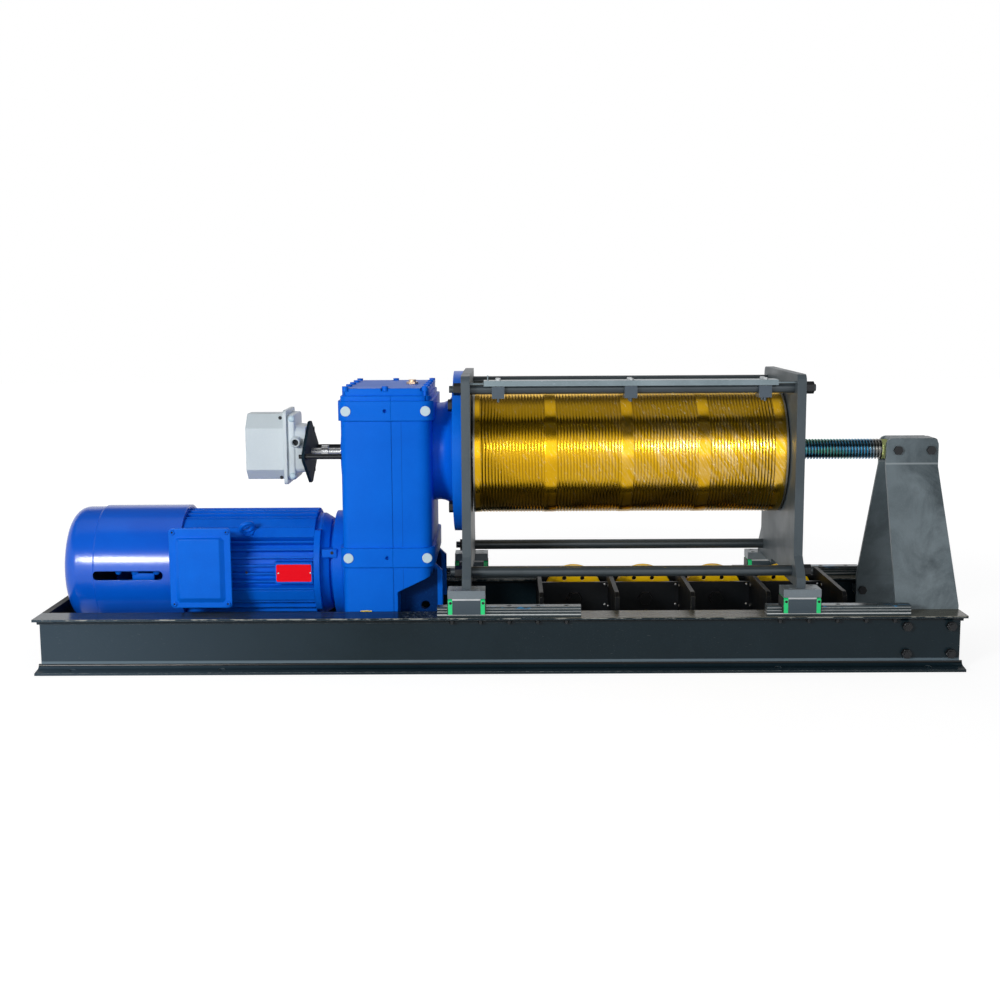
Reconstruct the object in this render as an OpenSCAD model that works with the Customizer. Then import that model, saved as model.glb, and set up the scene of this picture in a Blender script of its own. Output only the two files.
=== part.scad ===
// Stage winch with a travelling drum, in millimetres.
// The drum turns on a fixed screw, and so the drum, its gear motor and its two side plates
// move along four guide rails by one screw pitch a turn.
// +X runs from the motor to the screw bracket, +Y to the rear and +Z up.
// The origin is under the middle of the base, and the carriage stands at its left stop.

/* [Base frame] */
// Length of the base
base_len = 2600; // [2580:10:2700]
// Width over the outer edges of the flanges
base_w = 630; // [626:2:650]
// Height of the two I-beams
beam_h = 160; // [150:5:180]
// Width of a beam flange
flange_w = 88; // [84:1:92]
// Thickness of a beam web
web_t = 6; // [5:0.5:9]
// Flange thickness at its free edge
toe_t = 7; // [6:0.5:9]
// Flange thickness at the web
root_t = 12.6; // [11:0.2:15]
// Thickness of the end plate
end_plate_t = 20; // [12:1:25]
// Thickness of a cross rib
rib_t = 12; // [8:1:16]
// Height of the ribs over the floor
rib_top = 200; // [190:2:210]
// Thickness of the plates that carry the sheave axles
cheek_t = 10; // [8:1:14]

/* [Linear guides] */
// Length of a rail
rail_len = 400; // [380:10:420]
// Width of a rail
rail_w = 34; // [28:1:36]
// Height of a rail
rail_h = 29; // [26:0.5:31]
// Distance from a flange's outer edge to the middle of its rail
rail_inset = 27; // [25:0.5:29]
// Distance between the rail bolts
rail_pitch = 80; // [70:5:85]
// Height from a rail's foot to the top of its guide block
guide_h = 55.5; // [48:0.5:58]
// Length of a guide block with its end caps
block_len = 106; // [102:1:114]
// Width of a guide block
block_w = 70; // [64:1:74]
// Length of a green end cap
cap_len = 14; // [10:1:18]
// Height of the block between a guide block and its side plate
riser_h = 22.5; // [20:0.5:28]

/* [Side plates] */
// Thickness of a side plate
plate_t = 25; // [20:1:30]
// Half width of a side plate at the drum
plate_half_w = 250; // [245:1:256]
// Half width of a side plate at its feet
foot_half_w = 300; // [296:1:306]
// Height of the drum axis over the feet of the plates
axis_rise = 355; // [350:1:370]
// Height of a side plate over the drum axis
plate_above = 233; // [228:1:245]
// Diameter of a tie rod
tie_d = 30; // [26:1:36]
// Thread diameter at the ends of a tie rod
tie_thread_d = 20; // [16:1:22]

/* [Drum] */
// Diameter of the drum over its lands
drum_d = 362; // [354:2:366]
// Length of the drum
drum_len = 893; // [889:1:900]
// Distance between grooves, which is also the pitch of the screw
groove_pitch = 9; // [8.8:0.1:9.2]
// Grooves in one rope section
groove_count = 21; // [18:1:21]
// Depth of a rope groove
groove_depth = 2.7; // [2:0.1:3.2]
// Distance from one rope section to the next
section_pitch = 217.5; // [215:0.5:218.5]
// Wall of the drum shell, lands included
shell_wall = 17; // [13:1:22]

/* [Screw and bracket] */
// Outer diameter of the fixed screw
screw_d = 60; // [54:1:62]
// Thickness of the bracket sheets
sheet_t = 10; // [8:1:12]
// Width of the bracket along the base
bracket_w = 178; // [172:1:184]
// Height of the bracket over the screw axis
bracket_above = 35; // [33:1:40]
// Thickness of the block that holds the screw
head_block_t = 70; // [68:1:76]

/* [Sheaves] */
// Outer diameter of a rope sheave
sheave_d = 182; // [176:2:190]
// Width of a sheave rim
sheave_w = 26; // [22:1:30]
// Diameter of a sheave axle
axle_d = 24; // [20:1:30]
// Height of the sheave axles over the floor
sheave_z = 124; // [121:1:127]

/* [Gear unit] */
// Length of the gear case along the drum axis
case_len = 252; // [248:1:260]
// Width of the gear case
case_w = 436; // [430:1:440]
// Wall of the gear case
case_wall = 12; // [9:1:14]
// Thickness of the output flange
out_flange_t = 27; // [22:1:32]
// Diameter of the output flange
out_flange_d = 470; // [462:1:476]
// Length of the neck between the case and the output flange
neck_len = 60; // [54:1:66]
// Module of the first gear pair
module_1 = 3; // [2.9:0.1:3]
// Module of the second gear pair
module_2 = 4; // [3.9:0.05:4]
// Diameter of the output shaft
out_shaft_d = 90; // [80:1:96]

/* [Motor] */
// Length of the finned motor frame
frame_len = 384; // [370:2:400]
// Diameter over the cooling fins
motor_d = 328; // [322:2:336]
// Length of the fan cowl
cowl_len = 340; // [326:2:352]
// Diameter of the rotor shaft
rotor_shaft_d = 38; // [32:1:42]
// Width of the terminal box
term_w = 174; // [160:2:190]
// Height of the terminal box
term_h = 228; // [210:2:240]

/* [Limit switch] */
// Length of the switch hood
hood_len = 111; // [100:1:130]
// Height of the switch hood
hood_h = 191; // [180:1:200]
// Length of the rods that carry the switch
standoff_len = 111; // [104:1:118]

/* [Hidden] */
$fn = 48;

// Clearances and cuts
cut = 1;
play = 0.1;          // between a bolt and its hole, on the radius
run_play = 0.05;     // between a turning shaft and its bearing, on the radius
slide_play = 0.3;    // between a guide block and its rail
soft_gap = 0.5;      // between a moving face and a fixed one
edge_r = 20;         // rounding of a plate's corners

// Heights
block_top_z = beam_h + guide_h;
foot_z = block_top_z + riser_h;
axis_z = foot_z + axis_rise;
plate_top_z = axis_z + plate_above;

// Beams
base_x0 = -base_len / 2;
base_x1 = base_len / 2;
beam_y = base_w / 2 - flange_w / 2;      // middle of a web
inner_y = base_w / 2 - flange_w;         // inner edge of a flange
web_y = beam_y - web_t / 2;              // inner face of a web
rail_y = base_w / 2 - rail_inset;
root_r = 12;
flange_slope = (root_t - toe_t) / ((flange_w - web_t) / 2);
web_cut = 8;                             // ends of the webs from the ends of the flanges
root_y = toe_t + flange_slope * (flange_w / 2 - web_t / 2 - root_r)
    + root_r * sqrt(1 + flange_slope * flange_slope);      // height where the fillet meets the web
anchor_d = 18;
anchor_inset = 22;                       // anchor holes from the outer flange edge
anchor_end = 100;                        // outer anchor holes from the ends of the base
anchor_share = 0.3;                      // inner anchor holes, as a share of the base length
anchor_xs = [base_x0 + anchor_end, -anchor_share * base_len, anchor_share * base_len,
    base_x1 - anchor_end];

// Carriage along X, at its left stop
left_plate_x = -103;                     // outer face of the left plate
end_gap = 5;                             // between a drum end and its plate
drum_x0 = left_plate_x + plate_t + end_gap;
drum_x1 = drum_x0 + drum_len;
right_plate_x = drum_x1 + end_gap;       // inner face of the right plate
right_face_x = right_plate_x + plate_t;
left_block_x = left_plate_x + plate_t / 2;
right_block_x = right_plate_x + plate_t / 2;
block_xs = [left_block_x, right_block_x];
rail_leads = [82, 94];                   // from a rail's left end to its block, at the left stop
riser_in = 1;                            // risers from the edges of their guide blocks
riser_len = block_len - 2 * riser_in;
riser_w = block_w - 2 * riser_in;

// Bolt sizes: thread, across flats, head height
m8 = [8, 13, 6];
m10 = [10, 16, 7];
m16 = [16, 24, 10];
m20 = [20, 30, 13];

// Drum and ropes
rim_t = 5;                               // end ring that closes the shell
groove_in = 17;                          // from the drum's left end to the first groove
section_len = groove_pitch * groove_count;
section_xs = [for (i = [0:3]) drum_x0 + groove_in + i * section_pitch];
shell_r = drum_d / 2;
bore_r = shell_r - shell_wall;
disc_t = 25;
hub_d = 140;
hub_out = 10;                            // how far the right hub stands out of its plate
nut_d = 100;
nut_len = 110;
nut_flange_d = 132;
nut_flange_t = 18;

// Sheaves and their ribs
sheave_groove = 6;
rope_gap = 8;                            // from the end of a section to its rope
sheave_xs = [for (x = section_xs) x + section_len + rope_gap + sheave_d / 2 - sheave_groove / 2];
rib_xs = [for (i = [0:4]) sheave_xs[0] + (i - 1 / 2) * section_pitch];
rib_front_y = 176;
cheek_front_y = 112;                     // front face of the front cheek plates
cheek_rear_y = 219;                      // rear face of the rear cheek plates
cheek_top_z = 173;
rib_foot_z = 60;                         // the ropes run on under the ribs
rib_clear = root_y + soft_gap;           // under the beams' upper fillets
sheave_y = shell_r;                      // where the ropes leave the drum
sheave_hub_d = 60;
hub_proud = 5;                           // hub past the rim on each side
sheave_hub_w = sheave_w + 2 * hub_proud;

// Screw and bracket
bracket_x0 = base_x1 - bracket_w;
bracket_top_z = axis_z + bracket_above;
bend_drop = 47;                          // upper bend of the sheets under the screw axis
bracket_bend_z = axis_z - bend_drop;
bracket_foot_z = 171;                    // lower bend of the sheets
bracket_low_z = 25;
top_ins = [9, 17];                       // ends of the bracket's top from those of its foot
lock_nut_t = 18;
lock_nut_af = 50;
head_in = 20;                            // head block from the bracket's left edge
head_x0 = bracket_x0 + head_in;
head_x1 = base_x1 - top_ins[1];
screw_past = 20;                         // screw past the inner end of its nut
screw_left_x = drum_x1 - nut_len - screw_past;
screw_neck_d = 36;
leg_bolt_ins = [19, 35];
leg_bolt_xs = [bracket_x0 + leg_bolt_ins[0], base_x1 - leg_bolt_ins[1]];
leg_bolt_zs = [45, 123];

// Gear unit
teeth_1 = [17, 77];
teeth_2 = [17, 79];
stage_1 = module_1 * (teeth_1[0] + teeth_1[1]) / 2;
stage_2 = module_2 * (teeth_2[0] + teeth_2[1]) / 2;
mid_z = axis_z - stage_2;
motor_z = mid_z - stage_1;
pressure_angle = 20;
backlash = 0.4;
flange_x0 = left_plate_x - out_flange_t;
case_x1 = flange_x0 - neck_len;
case_x0 = case_x1 - case_len;
seam_in = 109;                           // seam of the case from its drum side
seam_x = case_x1 - seam_in;
case_above = 177;                        // top of the case over the drum axis
case_foot_h = 180;                        // foot of the case under the motor axis
case_top_z = axis_z + case_above;
case_low_z = motor_z - case_foot_h;
step_in = 98;                            // sloping underside from the drum side
step_drop = 46;                          // its left end under the motor axis
step_x = case_x1 - step_in;
case_corner_r = 37;
neck_d = 286;
band_t = 8;
band_h = 55;
band_rises = [26, 108];                  // bands over the motor axis and the drum axis
band_zs = [motor_z + band_rises[0], axis_z + band_rises[1]];
wheel_1_w = 30;
wheel_2_w = 60;
wheel_ins = [28, 99];                    // gear wheels from the motor side of the case
wheel_1_x = case_x0 + wheel_ins[0];
wheel_2_x = case_x0 + wheel_ins[1];
pinion_past = 4;                         // pinions past their wheels on each side
shaft_in = 6;                            // shaft ends from the outer faces of the case
mid_shaft_d = 45;
bearing_w = 20;
bearing_in = 4;                          // bearings from the outer faces of the case
out_bearing_d = 150;
mid_bearing_d = 100;
boss_d = 190;
shaft_seal_d = 78;
shaft_seal_t = 6;
seal_gap = 1;                            // between a shaft and the wall that it passes through
boss_out = 13;                           // boss of the switch shaft over the case
seal_out = 9;                            // seal over its boss
cover_t = 21;
cover_edge_in = 5;                       // cover from the outer faces of the case
cover_in = 15;                           // cover bolts from the outer faces of the case
cover_bolt_y = 203;
cover_pocket_d = 27;                     // pockets of the cover bolts, open to the edge
cover_pocket_t = 13;                     // cover under the bolt heads
cover_rim = 28;                          // rim of the case that takes the bolts
cap_d = 28;
cap_depth = 4;
cap_proud = 2;
cap_ins = [17, 13];                      // caps from the two ends of the case
cap_xs = [case_x0 + cap_ins[0], case_x1 - cap_ins[1]];
breather_in = 63;                        // from the drum side of the case
breather_cap_d = 22;

// Motor
adapter_t = 66;
adapter_d = [298, 268, 250, 312];        // at the motor, at the end of the cone, neck and flange
adapter_cone_t = 24;
adapter_flange_t = 30;
lug_block_h = 24;                        // block on the side of the adapter
lug_block_w = 43;
lug_block_in = 6;                        // block from the motor end of the adapter
lug_block_rise = 42;                     // block over the motor axis
lug_block_out = 3;                       // block past the cone
shield_t = 18;
shield_d = 298;
shield_ear_h = 232;                      // ears of the shield beside the frame
rear_shield_t = 16;
spigot_len = 8;                          // end shields inside the frame
adapter_x = case_x0 - band_t - adapter_t;
shield_x = adapter_x - shield_t;
frame_x = shield_x - frame_len;
cowl_x = frame_x - cowl_len;
fin_count = 44;
fin_share = 0.1;                         // first fin, as a share of the fin pitch
fin_t = 5;
flat_w = 34;                             // flats that stand in for fins at some angles
flat_angles = [-25, 43, 55.5];           // on both sides, from the level of the axis
flat_clear = 7;                          // least angle between a flat and a fin
frame_r = 143;                           // over the frame between its fins
frame_bore_r = 126;
fin_root_r = 131;
rotor_r = 78;
rotor_gap = 1;
core_in = 50;                            // from the frame's ends to the stator core
winding_len = 30;
winding_in = 12;                         // winding heads from the core's bore and rim
pinion_shaft_d = 34;
pinion_end = 10;                         // pinion shaft past its wheel
brake_disc_d = 160;
brake_disc_t = 8;
brake_magnet_d = 200;
brake_magnet_t = 38;
brake_gap = 4;                           // brake disc from its magnet
cowl_over = 11;                          // cowl over the fin tips
cowl_r = motor_d / 2 + cowl_over;
cowl_lip = 4;                            // bead over the rest of the cowl
cowl_wall = 3;
rear_shield_d = 2 * (cowl_r - cowl_lip - cowl_wall - play);
dome_r = 42;
bead_in = 245;                           // bead from the frame
bead_x = frame_x - bead_in;
slot_in = 249;                           // left end of the slot from the frame
slot_x = frame_x - slot_in;
slot_w = 202;
slot_h = 26;
slot_drop = 4;                           // slot under the motor axis
grille_r = 120;
grille_pitch = 15;
grille_slot = 6;
fan_in = 34;                             // fan hub from the end of the cowl
fan_w = 40;
fan_disc_t = 4;
fan_blade_t = 4;
fan_gap = 30;                            // fan from the cowl's side
fan_blades = 8;

// Terminal box, nameplate and eye bolt
term_past = 10;                          // cover of the box past the end of the motor frame
term_below = 84;                         // foot of the cover under the motor axis
term_out = 72;                           // front edge of the box past the fins
term_seat_in = 8;                        // seat of the box inside the fin tips
term_x = frame_x - term_past;
term_z = motor_z - term_below;
term_y = -motor_d / 2 - term_out;
term_seat_y = term_seat_in - motor_d / 2;
term_r = 10;
term_cover_t = 14;
term_wall = 5;
term_body_in = 20;                       // box from the edges of its cover
term_panel_in = 30;                      // raised panel from the edges of the cover
term_screw_in = 11;
term_screw_d = 10;
term_screw_h = 4;
entry_d = 32;
entry_in = 50;                           // cable entries from the ends of the cover
seat_in = 30;                            // seat from the edges of the cover
seat_depth = 46;                         // seats and pads into the fins
name_w = 100;
name_h = 50;
name_t = 1.5;
name_pad = [4, 6];                       // pad around the nameplate
name_pad_t = 2;                          // pad over the fin tips
name_in = 6;                             // nameplate from the end of the frame
plate_x = shield_x - name_w - name_in;
eye_in = 192;                            // eye bolt from the end of the frame
eye_angle = 47;
eye_turn = 25;                           // ring of the eye from the motor's length
eye_collar_d = 34;
eye_collar_t = 6;
eye_rise = 26;                           // middle of the eye over the fin tips
eye_r = 18;
eye_wire_r = 6;

// Limit switch
switch_plate_t = 8;
switch_plate_w = 155;                    // half width of the diamond plate
switch_plate_h = 90;                     // half height
switch_plate_x = case_x0 - standoff_len - switch_plate_t;
switch_rod_d = 16;
switch_rod_in = 18;                      // rods from the side points of the plate
switch_rod_y = switch_plate_w - switch_rod_in;
switch_thread_d = 12;
switch_thread_len = 10;
switch_base_t = 52;
switch_w = 150;
switch_r = 14;
hood_rim = 10;                           // rim of the hood past its sides, and its thickness
rim_above = 12.5;
switch_shaft_d = 20;
switch_shaft_gap = 2;
hood_wall = 4;
switch_rise = 20;                        // middle of the switch over its shaft
switch_z = axis_z + switch_rise;
gland_up = 16;                           // cable gland over the middle of the switch
gland_d = 34;
gland_bore_d = 20;
gland_len = 24;
coupling_d = 36;
coupling_t = 20;
coupling_in = 38;                        // coupling from the diamond plate
cam_d = 70;
cam_t = 6;
cam_pitch = 12;
cam_count = 4;

// Guard bar over the drum
bar_ins = [33, 44];                      // bar from the ends of the drum
bar_x0 = drum_x0 + bar_ins[0];
bar_x1 = drum_x1 - bar_ins[1];
bar_h = 15;
bar_w = 60;
bar_wall = 5;
clamp_len = 35;
clamp_h = 33;
clamp_ins = [40, 36];                    // end clamps from the ends of the bar
clamp_gap = 1;
clamp_bolt_y = 22;
clamp_bolt_past = 10;
clamp_rise = 8;                          // clamps over the middle of the tie rod
bar_rod_d = 6;
bar_rod_rise = 7;
bar_pin_in = 11;                         // pin from the left end of the bar
bar_pin_d = 4;
bar_pin_h = 14;
tie_top_rise = 194;                      // upper tie rods over the drum axis
tie_top_z = axis_z + tie_top_rise;
tie_top_y = 203;
tie_low_rise = 35;                       // lower tie rods over the feet of the plates
tie_low_z = foot_z + tie_low_rise;
tie_low_y = 223;
clamp_top_z = tie_top_z + clamp_rise;
bar_z0 = clamp_top_z + clamp_gap;

// Points of an arc about c, from angle a0 to a1 in n steps
function arc(c, r, a0, a1, n) =
    [for (i = [0:n]) c + r * [cos(a0 + (a1 - a0) * i / n), sin(a0 + (a1 - a0) * i / n)]];
// The same outline on the other side of an axis, in reverse order
function flip_x(p) = [for (i = [len(p) - 1:-1:0]) [-p[i][0], p[i][1]]];
function flip_y(p, h) = [for (i = [len(p) - 1:-1:0]) [p[i][0], h - p[i][1]]];

// Extrudes an outline in Y and Z along X
module along_x(x0, x1) translate([x0, 0, 0]) rotate([90, 0, 90]) linear_extrude(x1 - x0) children();
// Extrudes an outline in X and Z along Y
module along_y(y0, y1) translate([0, y1, 0]) rotate([90, 0, 0]) linear_extrude(y1 - y0) children();
// Turns an outline, radius first, about the X axis
module turned_x(z) translate([0, 0, z]) rotate([0, 90, 0]) rotate_extrude() children();
module rod_x(d, x0, x1) translate([x0, 0, 0]) rotate([0, 90, 0]) cylinder(d = d, h = x1 - x0);
module rod_y(d, y0, y1) translate([0, y1, 0]) rotate([90, 0, 0]) cylinder(d = d, h = y1 - y0);
module rod_z(d, z0, z1) translate([0, 0, z0]) cylinder(d = d, h = z1 - z0);
// Hexagons, by their width across flats
module hex_x(af, x0, x1) translate([x0, 0, 0]) rotate([0, 90, 0])
    cylinder(d = af / cos(30), h = x1 - x0, $fn = 6);
module hex_y(af, y0, y1) translate([0, y1, 0]) rotate([90, 0, 0])
    cylinder(d = af / cos(30), h = y1 - y0, $fn = 6);
module hex_z(af, z0, z1) translate([0, 0, z0]) cylinder(d = af / cos(30), h = z1 - z0, $fn = 6);
module ring_x(od, id, x0, x1) difference() {
    rod_x(od, x0, x1);
    rod_x(id, x0 - cut, x1 + cut);
}
// A box from its lowest to its highest corner
module block(lo, hi) translate(lo) cube(hi - lo);
// A rectangle with round corners
module round_rect(x0, x1, y0, y1, r) polygon(concat(
    arc([x1 - r, y0 + r], r, -90, 0, 6), arc([x1 - r, y1 - r], r, 0, 90, 6),
    arc([x0 + r, y1 - r], r, 90, 180, 6), arc([x0 + r, y0 + r], r, 180, 270, 6)));
module both_sides() {
    children();
    mirror([0, 1, 0]) children();
}

// One I-beam with sloping flanges, about its web
module beam_outline() {
    corner = concat([[flange_w / 2, 0], [flange_w / 2, toe_t]],
        arc([web_t / 2 + root_r, root_y], root_r, 270 - atan(flange_slope), 180, 5));
    side = concat(corner, flip_y(corner, beam_h));
    polygon(concat(side, flip_x(side)));
}
module beam() difference() {
    translate([0, -beam_y, 0]) along_x(base_x0, base_x1) beam_outline();
    for (x = [base_x0 - web_cut, base_x1 - web_cut])
        block([x, -beam_y - web_t, root_y], [x + 2 * web_cut, -beam_y + web_t, beam_h - root_y]);
    for (x = rail_bolt_xs) translate([x, -rail_y, 0])
        rod_z(m8[0] + 2 * play, beam_h - root_t - root_r, beam_h + cut);
    for (x = anchor_xs) translate([x, -base_w / 2 + anchor_inset, 0])
        rod_z(anchor_d, -cut, root_t + root_r);
    for (x = leg_bolt_xs, z = leg_bolt_zs) translate([x, 0, z])
        rod_y(m16[0] + 2 * play, -beam_y - web_t, -beam_y + web_t);
}
module front_beam() color("slategray") beam();
module rear_beam() color("slategray") mirror([0, 1, 0]) beam();

// End plate between the beams, and five ribs that reach the webs under the flanges
rib_profile = [[-web_y, rib_foot_z], [-web_y, beam_h - rib_clear],
    [-rib_front_y, beam_h - rib_clear], [-rib_front_y, rib_top - rib_t],
    [rib_t - rib_front_y, rib_top], [cheek_rear_y - rib_t, rib_top],
    [cheek_rear_y, rib_top - rib_t], [cheek_rear_y, beam_h - rib_clear],
    [web_y, beam_h - rib_clear], [web_y, rib_foot_z]];
module cross_plates() color("darkslategray") {
    block([base_x0, -inner_y, 0], [base_x0 + end_plate_t, inner_y, beam_h]);
    for (x = rib_xs) along_x(x - rib_t / 2, x + rib_t / 2) polygon(rib_profile);
}
module cheek(y, i) difference() {
    block([rib_xs[i] + rib_t / 2, y, rib_foot_z], [rib_xs[i + 1] - rib_t / 2, y + cheek_t, cheek_top_z]);
    translate([sheave_xs[i], 0, sheave_z]) rod_y(axle_d + 2 * play, y - cut, y + cheek_t + cut);
}
module cheek_plates() color("darkslategray") for (i = [0:3]) {
    cheek(cheek_front_y, i);
    cheek(cheek_rear_y - cheek_t, i);
}

// Axle bolts with nuts, and the spacer in front of each sheave
axle_nut_wall = 6;
axle_nut_t = 13;
spacer_wall = 4;
module sheave_axle() {
    rod_y(axle_d, cheek_front_y, cheek_rear_y + axle_nut_t);
    hex_y(axle_d + 2 * axle_nut_wall, cheek_front_y - axle_nut_t, cheek_front_y);
    difference() {
        hex_y(axle_d + 2 * axle_nut_wall, cheek_rear_y, cheek_rear_y + axle_nut_t);
        rod_y(axle_d + 2 * play, cheek_rear_y - cut, cheek_rear_y + axle_nut_t + cut);
    }
    spacer(cheek_front_y + cheek_t, sheave_y - sheave_hub_w / 2 - soft_gap);
}
module spacer(y0, y1) difference() {
    rod_y(axle_d + 2 * spacer_wall, y0, y1);
    rod_y(axle_d + 2 * play, y0 - cut, y1 + cut);
}
module sheave_axles() color("silver") for (x = sheave_xs)
    translate([x, 0, sheave_z]) sheave_axle();

// Sheave, radius and width from its hub to its grooved rim
sheave_web = 10;
sheave_rim = 14;
module sheave(i) color("gold") translate([sheave_xs[i], sheave_y, sheave_z]) rotate([90, 0, 0])
    difference() {
        rotate_extrude() polygon(concat(
            [[axle_d / 2 + run_play, -sheave_hub_w / 2], [sheave_hub_d / 2, -sheave_hub_w / 2],
             [sheave_hub_d / 2, -sheave_web / 2], [sheave_d / 2 - sheave_rim, -sheave_web / 2],
             [sheave_d / 2 - sheave_rim, -sheave_w / 2], [sheave_d / 2, -sheave_w / 2]],
            arc([sheave_d / 2, 0], sheave_groove, 270, 90, 6),
            [[sheave_d / 2, sheave_w / 2], [sheave_d / 2 - sheave_rim, sheave_w / 2],
             [sheave_d / 2 - sheave_rim, sheave_web / 2], [sheave_hub_d / 2, sheave_web / 2],
             [sheave_hub_d / 2, sheave_hub_w / 2], [axle_d / 2 + run_play, sheave_hub_w / 2]]));
        for (a = [0:60:300]) rotate(a) translate([(sheave_d - sheave_rim) / 3, 0, 0])
            rod_z(sheave_rim, -sheave_w, sheave_w);
    }
module sheave_1() sheave(0);
module sheave_2() sheave(1);
module sheave_3() sheave(2);
module sheave_4() sheave(3);

// Rails: half outline with two side grooves, as shares of half the width and of the height
rail_shares = [[1, 0], [1, 0.32], [0.84, 0.4], [0.84, 0.46], [0.96, 0.53], [0.96, 0.62], [0.8, 0.7],
    [0.8, 0.75], [1, 0.82], [1, 0.96], [0.94, 1]];
rail_half = [for (s = rail_shares) [s[0] * rail_w / 2, s[1] * rail_h]];
rail_x0s = [for (i = [0:1]) block_xs[i] - rail_leads[i]];
rail_bolt_count = 5;
rail_first = (rail_len - (rail_bolt_count - 1) * rail_pitch) / 2;
rail_bolt_xs = [for (x = rail_x0s, i = [0:rail_bolt_count - 1]) x + rail_first + i * rail_pitch];
head_d = 14;
head_h = 9;
module guide_rails() color("silver") both_sides() difference() {
    translate([0, -rail_y, beam_h]) for (x = rail_x0s)
        along_x(x, x + rail_len) polygon(concat(rail_half, flip_x(rail_half)));
    for (x = rail_bolt_xs) translate([x, -rail_y, beam_h]) {
        rod_z(m8[0] + 2 * play, -cut, rail_h + cut);
        rod_z(head_d + 2 * play, rail_h - head_h - cut, rail_h + cut);
    }
}
// Socket screws in the rails, with a taper washer and a nut under the flange
rail_nut_z = beam_h - toe_t - flange_slope * (flange_w / 2 - abs(beam_y - rail_y) + m8[1] / 2);
module rail_bolt() {
    rod_z(m8[0], rail_nut_z - 2 * m8[2], beam_h + rail_h - head_h - cut);
    difference() {
        rod_z(head_d, beam_h + rail_h - head_h - cut, beam_h + rail_h - cut);
        hex_z(m8[2], beam_h + rail_h - head_h / 2, beam_h + rail_h);
    }
    difference() {
        hex_z(m8[1], rail_nut_z - 3 * m8[2] / 2, rail_nut_z - m8[2] / 4);
        rod_z(m8[0] + 2 * play, rail_nut_z - 2 * m8[2], rail_nut_z);
    }
}
module rail_bolts() color("dimgray") both_sides() for (x = rail_bolt_xs)
    translate([x, -rail_y, 0]) rail_bolt();

// Bracket: two bent sheets that lean together over the end of the base
sheet_out_y = head_block_t / 2 + sheet_t;
sheet_foot_y = inner_y - soft_gap;
sheet_lean = atan((sheet_foot_y - sheet_out_y) / (bracket_bend_z - bracket_foot_z));
sheet_drop = sheet_t * tan(sheet_lean / 2);
sheet_profile = [[-sheet_out_y, bracket_top_z], [-sheet_out_y, bracket_bend_z],
    [-sheet_foot_y, bracket_foot_z], [-sheet_foot_y, bracket_low_z],
    [sheet_t - sheet_foot_y, bracket_low_z], [sheet_t - sheet_foot_y, bracket_foot_z - sheet_drop],
    [sheet_t - sheet_out_y, bracket_bend_z - sheet_drop], [sheet_t - sheet_out_y, bracket_top_z]];
sheet_top_x0 = bracket_x0 + top_ins[0];
sheet_top_x1 = base_x1 - top_ins[1];
module sheet_outline() polygon(concat(
    [[bracket_x0, bracket_low_z], [base_x1, bracket_low_z], [base_x1, bracket_foot_z],
     [sheet_top_x1, bracket_bend_z]],
    arc([sheet_top_x1 - edge_r, bracket_top_z - edge_r], edge_r, 0, 90, 6),
    arc([sheet_top_x0 + edge_r, bracket_top_z - edge_r], edge_r, 90, 180, 6),
    [[sheet_top_x0, bracket_bend_z], [bracket_x0, bracket_foot_z]]));
head_bolt_in = 22.5;
head_bolt_xs = [head_x0 + head_bolt_in, head_x1 - head_bolt_in];
module bracket_sheets() color("slategray") both_sides() difference() {
    intersection() {
        along_x(bracket_x0 - cut, base_x1 + cut) polygon(sheet_profile);
        along_y(-base_w / 2, 0) sheet_outline();
    }
    for (x = head_bolt_xs) translate([x, 0, axis_z])
        rod_y(m16[0] + 2 * play, -sheet_out_y - cut, cut - head_block_t / 2);
    for (x = leg_bolt_xs, z = leg_bolt_zs) translate([x, 0, z])
        rod_y(m16[0] + 2 * play, -sheet_foot_y - cut, sheet_t + cut - sheet_foot_y);
}
bolt_depth = 13;
module bracket_head_block() color("slategray") difference() {
    along_y(-head_block_t / 2, head_block_t / 2) round_rect(head_x0, head_x1, bracket_bend_z + sheet_t,
        bracket_top_z - soft_gap, sheet_t);
    translate([0, 0, axis_z]) rod_x(screw_neck_d + 2 * play, head_x0 - cut, head_x1 + cut);
    both_sides() for (x = head_bolt_xs) translate([x, 0, axis_z])
        rod_y(m16[0] + 2 * play, -head_block_t / 2 - cut, bolt_depth + play - head_block_t / 2);
}
// Screws that hold the head block, and bolts with nuts through the sheets, packers and webs
module head_screw() {
    hex_y(m16[1], -sheet_out_y - m16[2], -sheet_out_y);
    rod_y(m16[0], -sheet_out_y - m16[2] / 2, bolt_depth - head_block_t / 2);
}
module leg_bolt() {
    hex_y(m16[1], sheet_t - sheet_foot_y, sheet_t - sheet_foot_y + m16[2]);
    rod_y(m16[0], -beam_y - web_t / 2 - 2 * m16[2], sheet_t - sheet_foot_y + m16[2] / 2);
    difference() {
        hex_y(m16[1], -beam_y - web_t / 2 - 3 * m16[2] / 2, -beam_y - web_t / 2);
        rod_y(m16[0] + 2 * play, -beam_y - flange_w / 2, -beam_y);
    }
}
module bracket_bolts() color("dimgray") both_sides() {
    for (x = head_bolt_xs) translate([x, 0, axis_z]) head_screw();
    for (x = leg_bolt_xs, z = leg_bolt_zs) translate([x, 0, z]) leg_bolt();
}
packer_w = 36;
module foot_packers() color("dimgray") both_sides() for (x = leg_bolt_xs, z = leg_bolt_zs)
    translate([x, 0, z]) difference() {
        block([-packer_w / 2, -web_y, -packer_w / 3], [packer_w / 2, -sheet_foot_y, packer_w / 3]);
        rod_y(m16[0] + 2 * play, -beam_y, -sheet_foot_y + cut);
    }

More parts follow.
